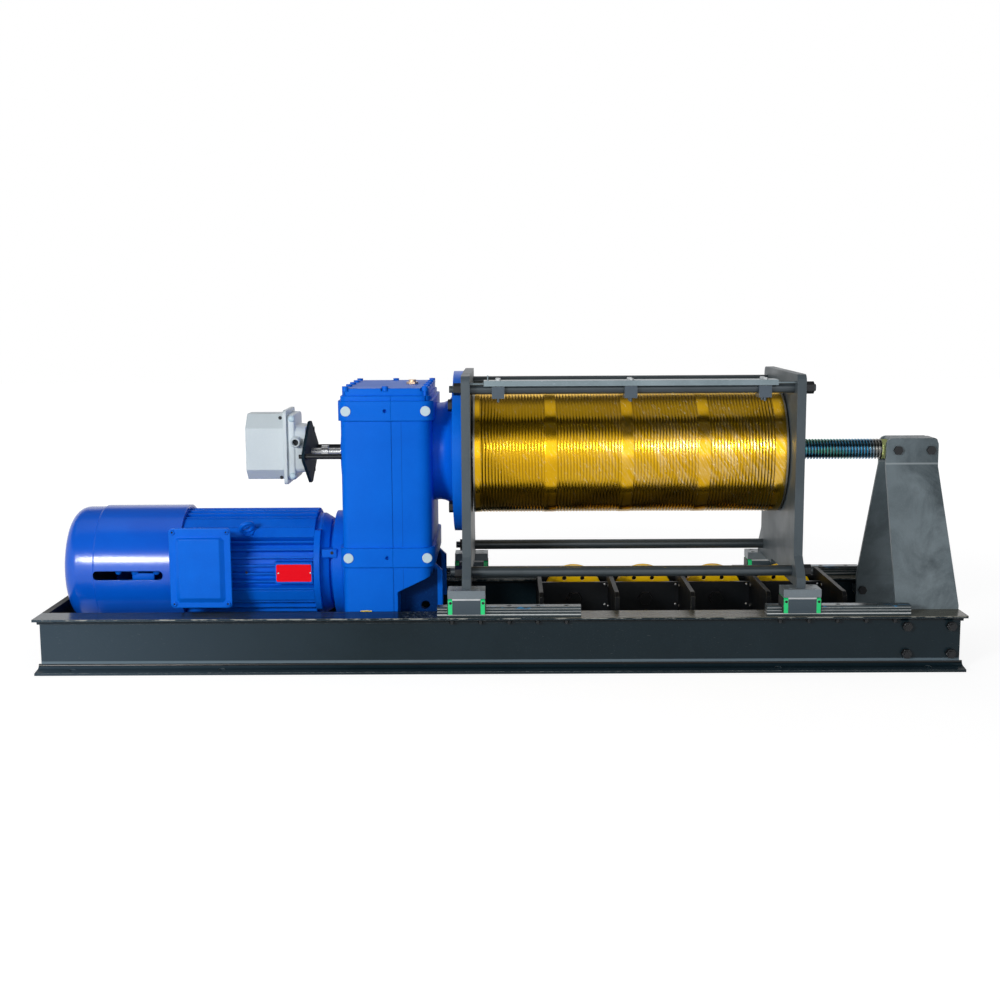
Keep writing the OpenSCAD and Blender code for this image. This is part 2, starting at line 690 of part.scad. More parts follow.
// Fixed screw, plain over its thread, and the nut that locks it to the bracket
module lead_screw() color("lightsteelblue") translate([0, 0, axis_z]) {
    rod_x(screw_d, screw_left_x, head_x0 - lock_nut_t);
    rod_x(screw_neck_d, head_x0 - lock_nut_t - cut, head_x1);
}
module screw_lock_nut() color("khaki") translate([0, 0, axis_z]) difference() {
    hex_x(lock_nut_af, head_x0 - lock_nut_t, head_x0);
    rod_x(screw_neck_d + 2 * play, head_x0 - 2 * lock_nut_t, head_x0 + cut);
}

// Side plate outline in Y and Z, with a shallow arch between the feet
arch_half_w = 78;
arch_rise = 15;
flare_rises = [27, 82];
module plate_outline() {
    half = concat([[foot_half_w, foot_z], [foot_half_w, foot_z + flare_rises[0]],
        [plate_half_w, foot_z + flare_rises[1]]],
        arc([plate_half_w - edge_r, plate_top_z - edge_r], edge_r, 0, 90, 6));
    arch = arc([arch_half_w - arch_rise, foot_z], arch_rise, 90, 0, 6);
    polygon(concat(half, flip_x(half), flip_x(arch), arch));
}
tie_places = [[-tie_top_y, tie_top_z], [tie_top_y, tie_top_z], [-tie_low_y, tie_low_z],
    [tie_low_y, tie_low_z]];
module side_plate(x) difference() {
    along_x(x, x + plate_t) plate_outline();
    for (p = tie_places) translate([0, p[0], p[1]])
        rod_x(tie_thread_d + 2 * play, x - cut, x + plate_t + cut);
}
flange_pcd = 410;
flange_angles = [for (i = [0:3]) 45 + 90 * i];
spigot_d = 250;
module at_flange_bolts() for (a = flange_angles)
    translate([0, flange_pcd / 2 * sin(a), axis_z + flange_pcd / 2 * cos(a)]) children();
module left_side_plate() color("dimgray") difference() {
    side_plate(left_plate_x);
    translate([0, 0, axis_z]) rod_x(spigot_d, left_plate_x - cut, left_plate_x + plate_t + cut);
    at_flange_bolts() rod_x(m20[0] + 2 * play, left_plate_x - cut, left_plate_x + plate_t + cut);
}
main_bearing_d = 200;
bearing_flange = 20;
module right_side_plate() color("dimgray") difference() {
    side_plate(right_plate_x);
    translate([0, 0, axis_z]) rod_x(main_bearing_d, right_plate_x - cut, right_face_x + cut);
}
module drum_bearing() color("silver") translate([0, 0, axis_z]) {
    ring_x(main_bearing_d - 2 * play, hub_d + 2 * run_play, right_plate_x, right_face_x);
    ring_x(main_bearing_d + 2 * bearing_flange, hub_d + 2 * run_play, right_face_x, right_face_x + hub_out / 2);
}

// Tie rods with threaded ends, and their nuts
stub = 34;
tie_nut_t = [22, 29];                    // nut and washers at the left and right plates
module tie_rods() color("dimgray") for (p = tie_places) translate([0, p[0], p[1]]) {
    rod_x(tie_d, left_plate_x + plate_t, right_plate_x);
    rod_x(tie_thread_d, left_plate_x - stub, left_plate_x + plate_t + cut);
    rod_x(tie_thread_d, right_plate_x - cut, right_face_x + stub);
}
module tie_nut(x, t) difference() {
    hex_x(m20[1], x, x + t);
    rod_x(tie_thread_d + 2 * play, x - cut, x + t + cut);
}
module tie_rod_nuts() color("black") for (p = tie_places) translate([0, p[0], p[1]]) {
    tie_nut(left_plate_x - tie_nut_t[0], tie_nut_t[0]);
    tie_nut(right_face_x, tie_nut_t[1]);
}

// Guide blocks on the rails, with end caps, seals and the risers under the plates
body_len = block_len - 2 * cap_len;
block_foot_gap = 11;                     // between a guide block and its beam
block_foot_z = beam_h + block_foot_gap;
channel_half = rail_w / 2 + slide_play;
bolt_dx = 33;
bolt_dy = 22;
seal_t = 2;
block_roof = 2;                          // over the rail, under the screws
cap_inset = 1;                           // end caps inside the block's outline
cap_r = 8;
port_d = 5;
port_depth = 2;
module at_blocks() both_sides() for (x = block_xs) translate([x, -rail_y, 0]) children();
// Half outline of a block of width w that stands over the rail up to height top
module saddle(w, top, r) {
    half = concat([[channel_half, block_foot_z], [w / 2, block_foot_z]],
        arc([w / 2 - r, top - r], r, 0, 90, 4));
    slot = [[channel_half, beam_h + rail_h + slide_play]];
    polygon(concat(half, flip_x(half), flip_x(slot), slot));
}
module at_riser_bolts() for (dx = [-bolt_dx, bolt_dx], dy = [-bolt_dy, bolt_dy])
    translate([dx, dy, 0]) children();
module guide_blocks() color("slategray") at_blocks() difference() {
    along_x(-body_len / 2, body_len / 2) saddle(block_w, block_top_z, play);
    at_riser_bolts() rod_z(m8[0] + 2 * play, beam_h + rail_h + block_roof, block_top_z + cut);
}
module end_cap() difference() {
    along_x(body_len / 2, block_len / 2 - seal_t)
        saddle(block_w - 2 * cap_inset, block_top_z - cap_inset, cap_r);
    translate([block_len / 2 - cap_len / 2, 0, block_top_z - cap_len / 2 - port_d])
        rod_y(port_d, -block_w, cap_inset + port_depth - block_w / 2);
}
module guide_end_caps() color("springgreen") at_blocks() {
    end_cap();
    mirror([1, 0, 0]) end_cap();
}
module guide_seals() color("black") at_blocks() for (x = [-block_len / 2, block_len / 2 - seal_t])
    along_x(x, x + seal_t) saddle(block_w - 4 * cap_inset, block_top_z - 2 * cap_inset, cap_r);
module riser_blocks() color("slategray") at_blocks() difference() {
    block([-riser_len / 2, -riser_w / 2, block_top_z], [riser_len / 2, riser_w / 2, foot_z]);
    at_riser_bolts() {
        rod_z(m8[0] + 2 * play, block_top_z - cut, foot_z + cut);
        rod_z(head_d + 2 * play, foot_z - head_h, foot_z + cut);
    }
}
module riser_bolts() color("silver") at_blocks() at_riser_bolts() {
    rod_z(m8[0], beam_h + rail_h + block_roof + cut, foot_z - head_h + cut);
    difference() {
        rod_z(head_d, foot_z - head_h, foot_z - cut);
        hex_z(m8[2], foot_z - head_h / 2, foot_z);
    }
}

// Gear case, in two halves that meet at the seam
// Outline in X and Z, w inside the outer one, with a slope under the drum side
module case_outline(w) polygon([[case_x0 + w, case_low_z + w], [case_x0 + w, case_top_z],
    [case_x1 - w, case_top_z], [case_x1 - w, motor_z + w / 2],
    [step_x - w, motor_z - step_drop + w / 2], [step_x - w, case_low_z + w]]);
module case_plan(w) {
    r = case_corner_r - w;
    y = case_w / 2 - w;
    half = concat([[case_x0 + w, 0]], arc([case_x0 + w + edge_r, edge_r - y], edge_r, 180, 270, 4),
        arc([case_x1 - w - r, r - y], r, 270, 360, 6));
    polygon(concat(half, [for (i = [len(half) - 1:-1:1]) [half[i][0], -half[i][1]]]));
}
module case_body(w) intersection() {
    along_y(-case_w / 2, case_w / 2) case_outline(w);
    translate([0, 0, case_low_z]) linear_extrude(case_top_z - case_low_z) case_plan(w);
}
module case_bands() for (z = band_zs) translate([0, 0, z]) linear_extrude(band_h)
    round_rect(case_x0 - band_t, case_x1 + band_t, -case_w / 2 - band_t, case_w / 2 + band_t,
        case_corner_r);
// Webs below the slope, each with a lifting hole
web_plate_t = 20;
web_in = 100;
lug_y = case_w / 2 - web_in;
lug_d = 25;
lug_in = 24;                             // lifting hole from the drum side of the case
lug_drop = 101;
lug_out = 26;                            // webs past the drum side of the case
module case_webs() both_sides() difference() {
    along_y(-lug_y - web_plate_t, -lug_y) polygon([[step_x - cut, case_low_z + band_h],
        [case_x1 + lug_out, case_low_z + band_h], [case_x1 + lug_out, motor_z],
        [case_x1 - cut, motor_z + band_rises[0]], [step_x - cut, motor_z - step_drop]]);
    translate([case_x1 - lug_in, 0, motor_z - lug_drop]) rod_y(lug_d, -case_w, 0);
}
bosses = [[axis_z, out_bearing_d], [mid_z, mid_bearing_d]];
module gear_case() difference() {
    union() {
        difference() {
            union() {
                case_body(0);
                case_bands();
                case_webs();
            }
            case_body(case_wall);
        }
        // Rim under the cover, and the face of the motor adapter
        translate([0, 0, case_top_z - case_wall]) linear_extrude(case_wall) difference() {
            case_plan(0);
            case_plan(cover_rim);
        }
        translate([0, 0, motor_z]) rod_x(adapter_d[3], case_x0 - band_t, case_x0 + case_wall / 2);
        // Bosses that carry the bearings in both end walls
        for (b = bosses) translate([0, 0, b[0]]) {
            rod_x(b[1] + 2 * case_wall, case_x0 + case_wall / 2, case_x0 + bearing_in + bearing_w);
            rod_x(b[1] + 2 * case_wall, case_x1 - bearing_in - bearing_w, case_x1 - case_wall / 2);
        }
        translate([0, 0, axis_z])
            rod_x(boss_d + 2 * case_wall, case_x0 - boss_out, case_x0 + case_wall / 2);
    }
    for (b = bosses) translate([0, 0, b[0]]) {
        rod_x(b[1], case_x0 + bearing_in, case_x0 + bearing_in + bearing_w + cut);
        rod_x(b[1], case_x1 - bearing_in - bearing_w - cut, case_x1 - bearing_in);
    }
    translate([0, 0, axis_z]) {
        rod_x(shaft_seal_d + 2 * play, case_x0 - boss_out - cut, case_x0 + 2 * bearing_in);
        rod_x(out_shaft_d + 2 * seal_gap, case_x1 - case_wall, case_x1 + case_wall);
        // Room for the neck of the output flange in the band
        rod_x(neck_d + 2 * play, case_x1, case_x1 + case_wall);
    }
    translate([0, 0, motor_z]) rod_x(2 * rotor_shaft_d, case_x0 - case_wall, case_x0 + case_wall + cut);
    // Threaded holes in the middle of the bands
    for (z = band_zs) translate([(case_x0 + case_x1) / 2, 0, z + band_h / 2])
        both_sides() rod_y(m10[0], -case_w / 2 - band_t - cut, cap_depth - case_w / 2);
    for (z = band_zs, x = cap_xs) translate([x, 0, z + band_h / 2])
        both_sides() rod_y(cap_d, -case_w / 2 - band_t - cut, cap_depth - case_w / 2 - band_t);
    for (p = cover_bolt_places) translate([p[0], p[1], 0])
        rod_z(m10[0] + 2 * play, case_top_z - 2 * case_wall, case_top_z + cut);
}
module gear_case_motor_side() color("royalblue") intersection() {
    gear_case();
    block([case_x0 - 2 * case_wall, -case_w, case_low_z - cut], [seam_x, case_w, case_top_z + cut]);
}
module gear_case_drum_side() color("royalblue") intersection() {
    gear_case();
    block([seam_x, -case_w, case_low_z - cut], [case_x1 + 3 * case_wall, case_w, case_top_z + cut]);
}
module plug_caps() color("beige") both_sides() for (z = band_zs, x = cap_xs)
    translate([x, 0, z + band_h / 2])
        rod_y(cap_d - 2 * play, -case_w / 2 - band_t - cap_proud, cap_depth - case_w / 2 - band_t);

// Cover on the case, with pockets for its screws, and the breather
cover_bolt_places = concat(
    [for (x = [case_x0 + cover_in, case_x1 - cover_in], i = [-1, -1 / 2, 0, 1 / 2, 1])
        [x, i * cover_bolt_y]],
    [for (y = [-1, 1]) [(case_x0 + case_x1) / 2, y * (case_w / 2 - cover_in)]]);
head_seat_z = case_top_z + cover_pocket_t;
module gear_top_cover() color("royalblue") difference() {
    translate([0, 0, case_top_z]) linear_extrude(cover_t) case_plan(cover_edge_in);
    for (p = cover_bolt_places) translate([p[0], p[1], 0]) {
        rod_z(m10[0] + 2 * play, case_top_z - cut, case_top_z + cover_t + cut);
        rod_z(cover_pocket_d, head_seat_z, case_top_z + cover_t + cut);
    }
    translate(breather_place) rod_z(m20[0] + 2 * play, -cover_t - cut, cut);
}
breather_place = [case_x1 - breather_in, 0, case_top_z + cover_t];
module cover_bolts() color("royalblue") for (p = cover_bolt_places) translate([p[0], p[1], 0]) {
    rod_z(m10[0], case_top_z - case_wall, head_seat_z + cut);
    difference() {
        rod_z(m10[1] + 2 * cut, head_seat_z, head_seat_z + 2 * m10[2]);
        hex_z(m10[0], head_seat_z + m10[2], head_seat_z + 2 * m10[2] + cut);
    }
}
module breather() color("silver") translate(breather_place) {
    rod_z(m20[0], -cover_t, cut);
    hex_z(m20[1], 0, m20[2] / 2);
    rod_z(breather_cap_d, m20[2] / 2 - cut, m20[2]);
}

// Output flange: neck, bowl and disc, turned about the drum axis
disc_r = out_flange_d / 2;
bowl_r = 2 * neck_len / 3;
module output_flange() color("royalblue") difference() {
    turned_x(axis_z) polygon(concat(
        [[out_bearing_d / 2, case_x1], [neck_d / 2, case_x1]],
        arc([neck_d / 2 + bowl_r, flange_x0 - bowl_r], bowl_r, 180, 90, 6),
        [[disc_r, flange_x0], [disc_r, left_plate_x], [spigot_d / 2 - play, left_plate_x],
         [spigot_d / 2 - play, left_plate_x + plate_t / 2], [out_bearing_d / 2, left_plate_x + plate_t / 2]]));
    at_flange_bolts() rod_x(m20[0] + 2 * play, flange_x0 - neck_len, left_plate_x + cut);
}
module flange_bolts() color("black") at_flange_bolts() {
    hex_x(m20[1], flange_x0 - m20[2], flange_x0);
    rod_x(m20[0], flange_x0 - m20[2] / 2, left_plate_x + plate_t - cut);
}

// Ball bearings of the gear shafts, each as one ring, and the seal of the switch shaft
module shaft_bearing(z, od, id, x) translate([0, 0, z])
    ring_x(od - 2 * play, id + 2 * run_play, x, x + bearing_w);
module gear_bearings() color("silver") {
    shaft_bearing(axis_z, out_bearing_d, out_shaft_d, case_x0 + bearing_in);
    shaft_bearing(axis_z, out_bearing_d, out_shaft_d, left_plate_x - bearing_w);
    shaft_bearing(mid_z, mid_bearing_d, mid_shaft_d, case_x0 + bearing_in);
    shaft_bearing(mid_z, mid_bearing_d, mid_shaft_d, case_x1 - bearing_in - bearing_w);
    translate([0, 0, axis_z]) ring_x(shaft_seal_d, switch_shaft_d + 2 * run_play,
        case_x0 - boss_out - seal_out, case_x0 - boss_out + shaft_seal_t);
}

// Involute gear outline, with its first tooth on the +X side of the drawing
function involute(a) = tan(a) * 180 / PI - a;
function tooth_half(z, r, rho) = 90 / z - backlash / r * 45 / PI + involute(pressure_angle)
    - involute(acos(min(1, r * cos(pressure_angle) / rho)));
module gear_outline(m, z) {
    r = m * z / 2;
    levels = [r - 5 * m / 4, r, r + m];
    polygon([for (i = [0:z - 1], s = [-1, 1], k = [0:2]) let (
        rho = levels[s < 0 ? k : 2 - k],
        a = 360 * i / z + s * tooth_half(z, r, rho)) rho * [cos(a), sin(a)]]);
}
// A gear on a shaft of diameter d, with its first tooth turned to angle a from +Y towards +Z
module gear(m, z, x0, x1, d, a) difference() {
    along_x(x0, x1) rotate(a) gear_outline(m, z);
    rod_x(d - 2 * cut, x0 - cut, x1 + cut);
}
module output_shaft() color("silver") translate([0, 0, axis_z]) {
    rod_x(out_shaft_d, case_x0 + shaft_in, drum_x0 + 3 * disc_t);
    gear(module_2, teeth_2[1], wheel_2_x, wheel_2_x + wheel_2_w, out_shaft_d, -90);
}
module intermediate_gear() color("silver") translate([0, 0, mid_z]) {
    rod_x(mid_shaft_d, case_x0 + shaft_in, case_x1 - shaft_in);
    gear(module_1, teeth_1[1], wheel_1_x, wheel_1_x + wheel_1_w, mid_shaft_d, -90);
    gear(module_2, teeth_2[0], wheel_2_x - pinion_past, wheel_2_x + wheel_2_w + pinion_past,
        mid_shaft_d, 90 + 180 / teeth_2[0]);
}

// Motor
brake_x = frame_x - rear_shield_t - brake_magnet_t - brake_gap;
module motor_rotor() color("silver") translate([0, 0, motor_z]) {
    rod_x(rotor_shaft_d, cowl_x + fan_in - pinion_past, case_x0);
    rod_x(pinion_shaft_d, case_x0 - cut, wheel_1_x + wheel_1_w + pinion_end);
    rod_x(2 * rotor_r, frame_x + core_in, shield_x - core_in);
    gear(module_1, teeth_1[0], wheel_1_x - pinion_past, wheel_1_x + wheel_1_w + pinion_past,
        pinion_shaft_d, 90 + 180 / teeth_1[0]);
    // Brake disc
    rod_x(brake_disc_d, brake_x - brake_disc_t, brake_x);
}
module cooling_fan() color("dimgray") translate([cowl_x + fan_in, 0, motor_z]) difference() {
    union() {
        rod_x(2 * rotor_shaft_d, 0, fan_w);
        rod_x(2 * (cowl_r - fan_gap), fan_w - fan_disc_t, fan_w);
        for (i = [0:fan_blades - 1]) rotate([360 * i / fan_blades, 0, 0])
            block([fan_disc_t, -fan_blade_t / 2, rotor_shaft_d - fan_blade_t],
                [fan_w - fan_disc_t + cut, fan_blade_t / 2, cowl_r - fan_gap - cut]);
    }
    rod_x(rotor_shaft_d + 2 * play, -cut, fan_w + cut);
}
frame_flats = [for (a = flat_angles) each [a, 180 - a]];
module frame_ring() difference() {
    union() {
        circle(r = frame_r, $fn = 96);
        for (i = [0:fin_count - 1]) let (b = 360 * (i + fin_share) / fin_count)
            if (min([for (f = frame_flats) abs((b - f + 540) % 360 - 180)]) > flat_clear) rotate(b)
                translate([fin_root_r, -fin_t / 2]) square([motor_d / 2 - fin_root_r, fin_t]);
        for (b = frame_flats) rotate(b)
            translate([fin_root_r, -flat_w / 2]) square([motor_d / 2 - fin_root_r, flat_w]);
    }
    circle(r = frame_bore_r, $fn = 96);
}
module motor_frame() color("royalblue") difference() {
    union() {
        translate([0, 0, motor_z]) along_x(frame_x, shield_x) frame_ring();
        // Seat of the terminal box and pad of the nameplate
        block([term_x + seat_in, term_seat_y, term_z + seat_in],
            [term_x + term_w - seat_in, term_seat_y + seat_depth, term_z + term_h - seat_in]);
        block([plate_x - name_pad[0], -motor_d / 2 - name_pad_t, motor_z - name_h / 2 - name_pad[1]],
            [plate_x + name_w + name_pad[0], seat_depth - motor_d / 2, motor_z + name_h / 2 + name_pad[1]]);
    }
    block([term_x + term_body_in - cut, -motor_d, term_z + term_body_in - cut],
        [term_x + term_w - term_body_in + cut, term_seat_y, term_z + term_h - term_body_in + cut]);
    eye_place() rod_z(m16[0] + 2 * play, motor_d / 2 - eye_r - 2 * cut, motor_d / 2 + cut);
    translate([0, 0, motor_z]) rod_x(2 * frame_bore_r, frame_x - cut, shield_x + cut);
}
module nameplate() color("crimson")
    along_y(-motor_d / 2 - name_pad_t - name_t, -motor_d / 2 - name_pad_t) round_rect(plate_x,
        plate_x + name_w, motor_z - name_h / 2, motor_z + name_h / 2, name_pad[0]);
module stator_core() color("darkorange") translate([0, 0, motor_z]) {
    ring_x(2 * frame_bore_r - 2 * play, 2 * (rotor_r + rotor_gap), frame_x + core_in, shield_x - core_in);
    // Winding heads
    for (x = [frame_x + core_in - winding_len, shield_x - core_in])
        ring_x(2 * (frame_bore_r - winding_in), 2 * (rotor_r + winding_in), x, x + winding_len);
}
module motor_end_shields() color("royalblue") translate([0, 0, motor_z]) {
    difference() {
        union() {
            rod_x(shield_d, shield_x, adapter_x);
            intersection() {
                rod_x(motor_d, shield_x, adapter_x);
                block([shield_x, -motor_d, -shield_ear_h / 2], [adapter_x, motor_d, shield_ear_h / 2]);
            }
            rod_x(2 * frame_bore_r - 2 * play, shield_x - spigot_len, shield_x + cut);
        }
        rod_x(rotor_shaft_d + 2 * run_play, shield_x - spigot_len - cut, adapter_x + cut);
    }
    difference() {
        union() {
            rod_x(rear_shield_d, frame_x - rear_shield_t, frame_x);
            rod_x(2 * frame_bore_r - 2 * play, frame_x - cut, frame_x + spigot_len);
        }
        rod_x(rotor_shaft_d + 2 * run_play, frame_x - rear_shield_t - cut, frame_x + spigot_len + cut);
    }
}
module brake_magnet() color("dimgray") translate([0, 0, motor_z])
    ring_x(brake_magnet_d, rotor_shaft_d + 2 * brake_gap, frame_x - rear_shield_t - brake_magnet_t,
        frame_x - rear_shield_t);
// Cowl: a thin turned shell with a bead, a domed end with a grille and a slot in its side
module cowl_outline(w) polygon(concat([[0, cowl_x + w]],
    arc([cowl_r - cowl_lip - dome_r, cowl_x + dome_r], dome_r - w, 270, 360, 7),
    w > 0 ? [[cowl_r - cowl_lip - w, frame_x + cut], [0, frame_x + cut]]
        : [[cowl_r - cowl_lip, bead_x - cowl_lip], [cowl_r, bead_x], [cowl_r, frame_x], [0, frame_x]]));
module fan_cowl() color("royalblue") difference() {
    turned_x(motor_z) cowl_outline(0);
    turned_x(motor_z) cowl_outline(cowl_wall);
    // Slot in the front side that shows the brake
    along_y(-2 * cowl_r, 0) round_rect(slot_x, slot_x + slot_w, motor_z - slot_drop - slot_h / 2,
        motor_z - slot_drop + slot_h / 2, slot_h / 2 - cut);
    // Grille slots in the end
    grille_n = floor((grille_r - cut) / grille_pitch);
    translate([cowl_x, 0, motor_z]) for (i = [-grille_n:grille_n])
        let (h = sqrt(grille_r * grille_r - pow(i * grille_pitch, 2)))
            translate([0, i * grille_pitch, 0])
                block([-cut, -grille_slot / 2, -h], [2 * cowl_wall, grille_slot / 2, h]);
}
module motor_adapter() color("royalblue") translate([0, 0, motor_z]) difference() {
    union() {
        turned_x(0) polygon([[0, adapter_x], [adapter_d[0] / 2, adapter_x],
            [adapter_d[1] / 2, adapter_x + adapter_cone_t], [adapter_d[2] / 2, adapter_x + adapter_cone_t],
            [adapter_d[2] / 2, case_x0 - band_t - adapter_flange_t],
            [adapter_d[3] / 2, case_x0 - band_t - adapter_flange_t],
            [adapter_d[3] / 2, case_x0 - band_t], [0, case_x0 - band_t]]);
        block([adapter_x + lug_block_in, -adapter_d[0] / 2 - lug_block_out, lug_block_rise],
            [adapter_x + lug_block_in + lug_block_w, 0, lug_block_rise + lug_block_h]);
    }
    rod_x(2 * rotor_shaft_d, adapter_x - cut, case_x0 + cut);
}
module eye_place() translate([frame_x + eye_in, 0, motor_z]) rotate([eye_angle, 0, 0]) children();
module eye_bolt() color("royalblue") eye_place() {
    rod_z(m16[0], motor_d / 2 - eye_r, motor_d / 2 + eye_collar_t / 2);
    rod_z(eye_collar_d, motor_d / 2 + 2 * play, motor_d / 2 + eye_collar_t);
    translate([0, 0, motor_d / 2 + eye_rise]) rotate([0, 0, eye_turn]) rotate([90, 0, 0])
        rotate_extrude() translate([eye_r, 0]) circle(r = eye_wire_r);
}
// A rectangle that stands w inside the terminal box's outline
module term_outline(w, r) round_rect(term_x + w, term_x + term_w - w, term_z + w, term_z + term_h - w, r);
module terminal_box() color("royalblue") difference() {
    along_y(term_y, term_seat_y) term_outline(term_body_in, term_r);
    along_y(term_y - cut, term_seat_y - term_wall)
        term_outline(term_body_in + term_wall, term_r - term_wall / 2);
    // Two cable entries in the underside
    for (x = [term_x + entry_in, term_x + term_w - entry_in])
        translate([x, (term_y + term_seat_y) / 2, term_z + term_body_in])
            rod_z(entry_d, -cut, term_wall + cut);
}
module terminal_cover() color("royalblue") {
    along_y(term_y - term_cover_t / 2, term_y) term_outline(0, term_r);
    along_y(term_y - term_cover_t, term_y - term_cover_t / 2 + cut) term_outline(term_panel_in, term_r);
    for (x = [term_x + term_screw_in, term_x + term_w - term_screw_in],
            z = [term_z + term_screw_in, term_z + term_h - term_screw_in])
        translate([x, 0, z]) rod_y(term_screw_d, term_y - term_cover_t / 2 - term_screw_h,
            term_y - term_cover_t / 2 + cut);
}

// Limit switch on the far end of the output shaft
// A diamond with rounded side points and blunt top and bottom
module diamond(w, h, r) {
    side = arc([w - r, 0], r, -60, 60, 6);
    polygon(concat(side, [[r, h], [-r, h]], flip_x(side), [[-r, -h], [r, -h]]));
}
module switch_plate() color("dimgray") translate([0, 0, axis_z]) difference() {
    along_x(switch_plate_x, switch_plate_x + switch_plate_t)
        diamond(switch_plate_w, switch_plate_h, switch_rod_d);
    for (y = [-switch_rod_y, switch_rod_y]) translate([0, y, 0])
        rod_x(switch_thread_d + 2 * play, switch_plate_x - cut, switch_plate_x + switch_plate_t + cut);
    rod_x(switch_shaft_d + 2 * switch_shaft_gap, switch_plate_x - cut, switch_plate_x + switch_plate_t + cut);
}
module switch_rods() color("silver") for (y = [-switch_rod_y, switch_rod_y])
    translate([0, y, axis_z]) {
        rod_x(switch_rod_d, switch_plate_x + switch_plate_t, case_x0);
        rod_x(switch_thread_d, switch_plate_x - switch_thread_len, switch_plate_x + switch_plate_t + cut);
    }
// Outline of the switch, w inside its sides
module switch_outline(w, h, r) round_rect(-switch_w / 2 + w, switch_w / 2 - w, -h / 2 + w, h / 2 - w, r);
base_x = switch_plate_x - switch_base_t;
module switch_body() color("lightgray") translate([0, 0, switch_z]) {
    difference() {
        along_x(base_x, switch_plate_x) switch_outline(0, hood_h, switch_r);
        along_x(base_x - cut, switch_plate_x - 2 * hood_wall)
            switch_outline(hood_wall, hood_h, switch_r - hood_wall);
        translate([0, 0, -switch_rise])
            rod_x(switch_shaft_d + 2 * seal_gap, base_x - cut, switch_plate_x + cut);
        at_gland() rod_y(gland_bore_d, -switch_w, -switch_w / 4);
    }
    // Cable gland, facing the front
    at_gland() difference() {
        rod_y(gland_d, -switch_w / 2 - gland_len, -switch_w / 2);
        rod_y(gland_bore_d, -switch_w / 2 - gland_len - cut, -switch_w / 2 + cut);
    }
}
module at_gland() translate([base_x + switch_base_t / 2, 0, gland_up]) children();
// Outline of the hood, w inside its sides, with chamfers of two sizes
hood_chamfers = [40, 30];                // along the upper and the lower edges
module hood_outline(w) {
    y = switch_w / 2 - w;
    z = hood_h / 2 - w;
    top = hood_chamfers[0] - (2 - sqrt(2)) * w;
    low = hood_chamfers[1] - (2 - sqrt(2)) * w;
    half = [[y - low, -z], [y, low - z], [y, z - top], [y - top, z]];
    polygon(concat(half, flip_x(half)));
}
module switch_hood() color("lightgray") translate([0, 0, switch_z]) difference() {
    union() {
        along_x(base_x - hood_rim, base_x) switch_outline(-hood_rim, hood_h + 2 * rim_above - 2 * hood_rim,
            switch_r);
        along_x(base_x - hood_rim - hood_len, base_x - cut) hood_outline(0);
    }
    along_x(base_x - hood_rim - hood_len + hood_wall, base_x + cut) hood_outline(hood_wall);
}
// Drive shaft of the switch, with its coupling and the cams inside the hood
module switch_shaft() color("silver") translate([0, 0, axis_z]) {
    rod_x(switch_shaft_d, base_x - hood_rim - cam_count * cam_pitch - cam_pitch, case_x0 + shaft_in);
    rod_x(coupling_d, switch_plate_x + coupling_in, switch_plate_x + coupling_in + coupling_t);
    for (i = [1:cam_count]) rod_x(cam_d, base_x - cam_t - cam_pitch * i, base_x - cam_pitch * i);
}

// Guard bar, a channel over the upper front tie rod, with thin rods to the side plates
clamp_xs = [bar_x0 + clamp_ins[0], (bar_x0 + bar_x1) / 2, bar_x1 - clamp_ins[1]];
bar_y0 = -tie_top_y - bar_w / 2;
bar_y1 = bar_w / 2 - tie_top_y;
module at_clamp_bolts(x) for (y = [-clamp_bolt_y, clamp_bolt_y]) translate([x, y - tie_top_y, 0])
    children();
module cover_bar() color("silver") {
    difference() {
        block([bar_x0, bar_y0, bar_z0], [bar_x1, bar_y1, bar_z0 + bar_h]);
        block([bar_x0 - cut, bar_y0 + bar_wall, bar_z0 - cut],
            [bar_x1 + cut, bar_y1 - bar_wall, bar_z0 + bar_h - bar_wall]);
        for (x = clamp_xs) at_clamp_bolts(x) rod_z(m8[0] + 2 * play, bar_z0, bar_z0 + bar_h + cut);
    }
    for (r = [[left_plate_x + plate_t, bar_x0 + cut], [bar_x1 - cut, right_plate_x]])
        translate([0, bar_y0 + bar_wall / 2, bar_z0 + bar_rod_rise]) rod_x(bar_rod_d, r[0], r[1]);
    translate([bar_x0 + bar_pin_in, -tie_top_y, bar_z0 + bar_h])
        rod_z(bar_pin_d, -bar_wall / 2, bar_pin_h);
}
// Cradles under the rod, with the bolts that pull them to the bar
module bar_clamp(x) {
    difference() {
        block([x - clamp_len / 2, bar_y0, clamp_top_z - clamp_h],
            [x + clamp_len / 2, bar_y1, clamp_top_z]);
        translate([0, -tie_top_y, tie_top_z]) rod_x(tie_d + 2 * play, x - clamp_len, x + clamp_len);
        at_clamp_bolts(x) rod_z(m8[0] + 2 * play, bar_z0 - 2 * clamp_h, bar_z0);
    }
    at_clamp_bolts(x) {
        rod_z(m8[0], clamp_top_z - clamp_h - clamp_bolt_past, bar_z0 + bar_h + cut);
        hex_z(m8[1], bar_z0 + bar_h, bar_z0 + bar_h + m8[2]);
    }
}
module bar_clamps() color("black") for (x = clamp_xs) bar_clamp(x);

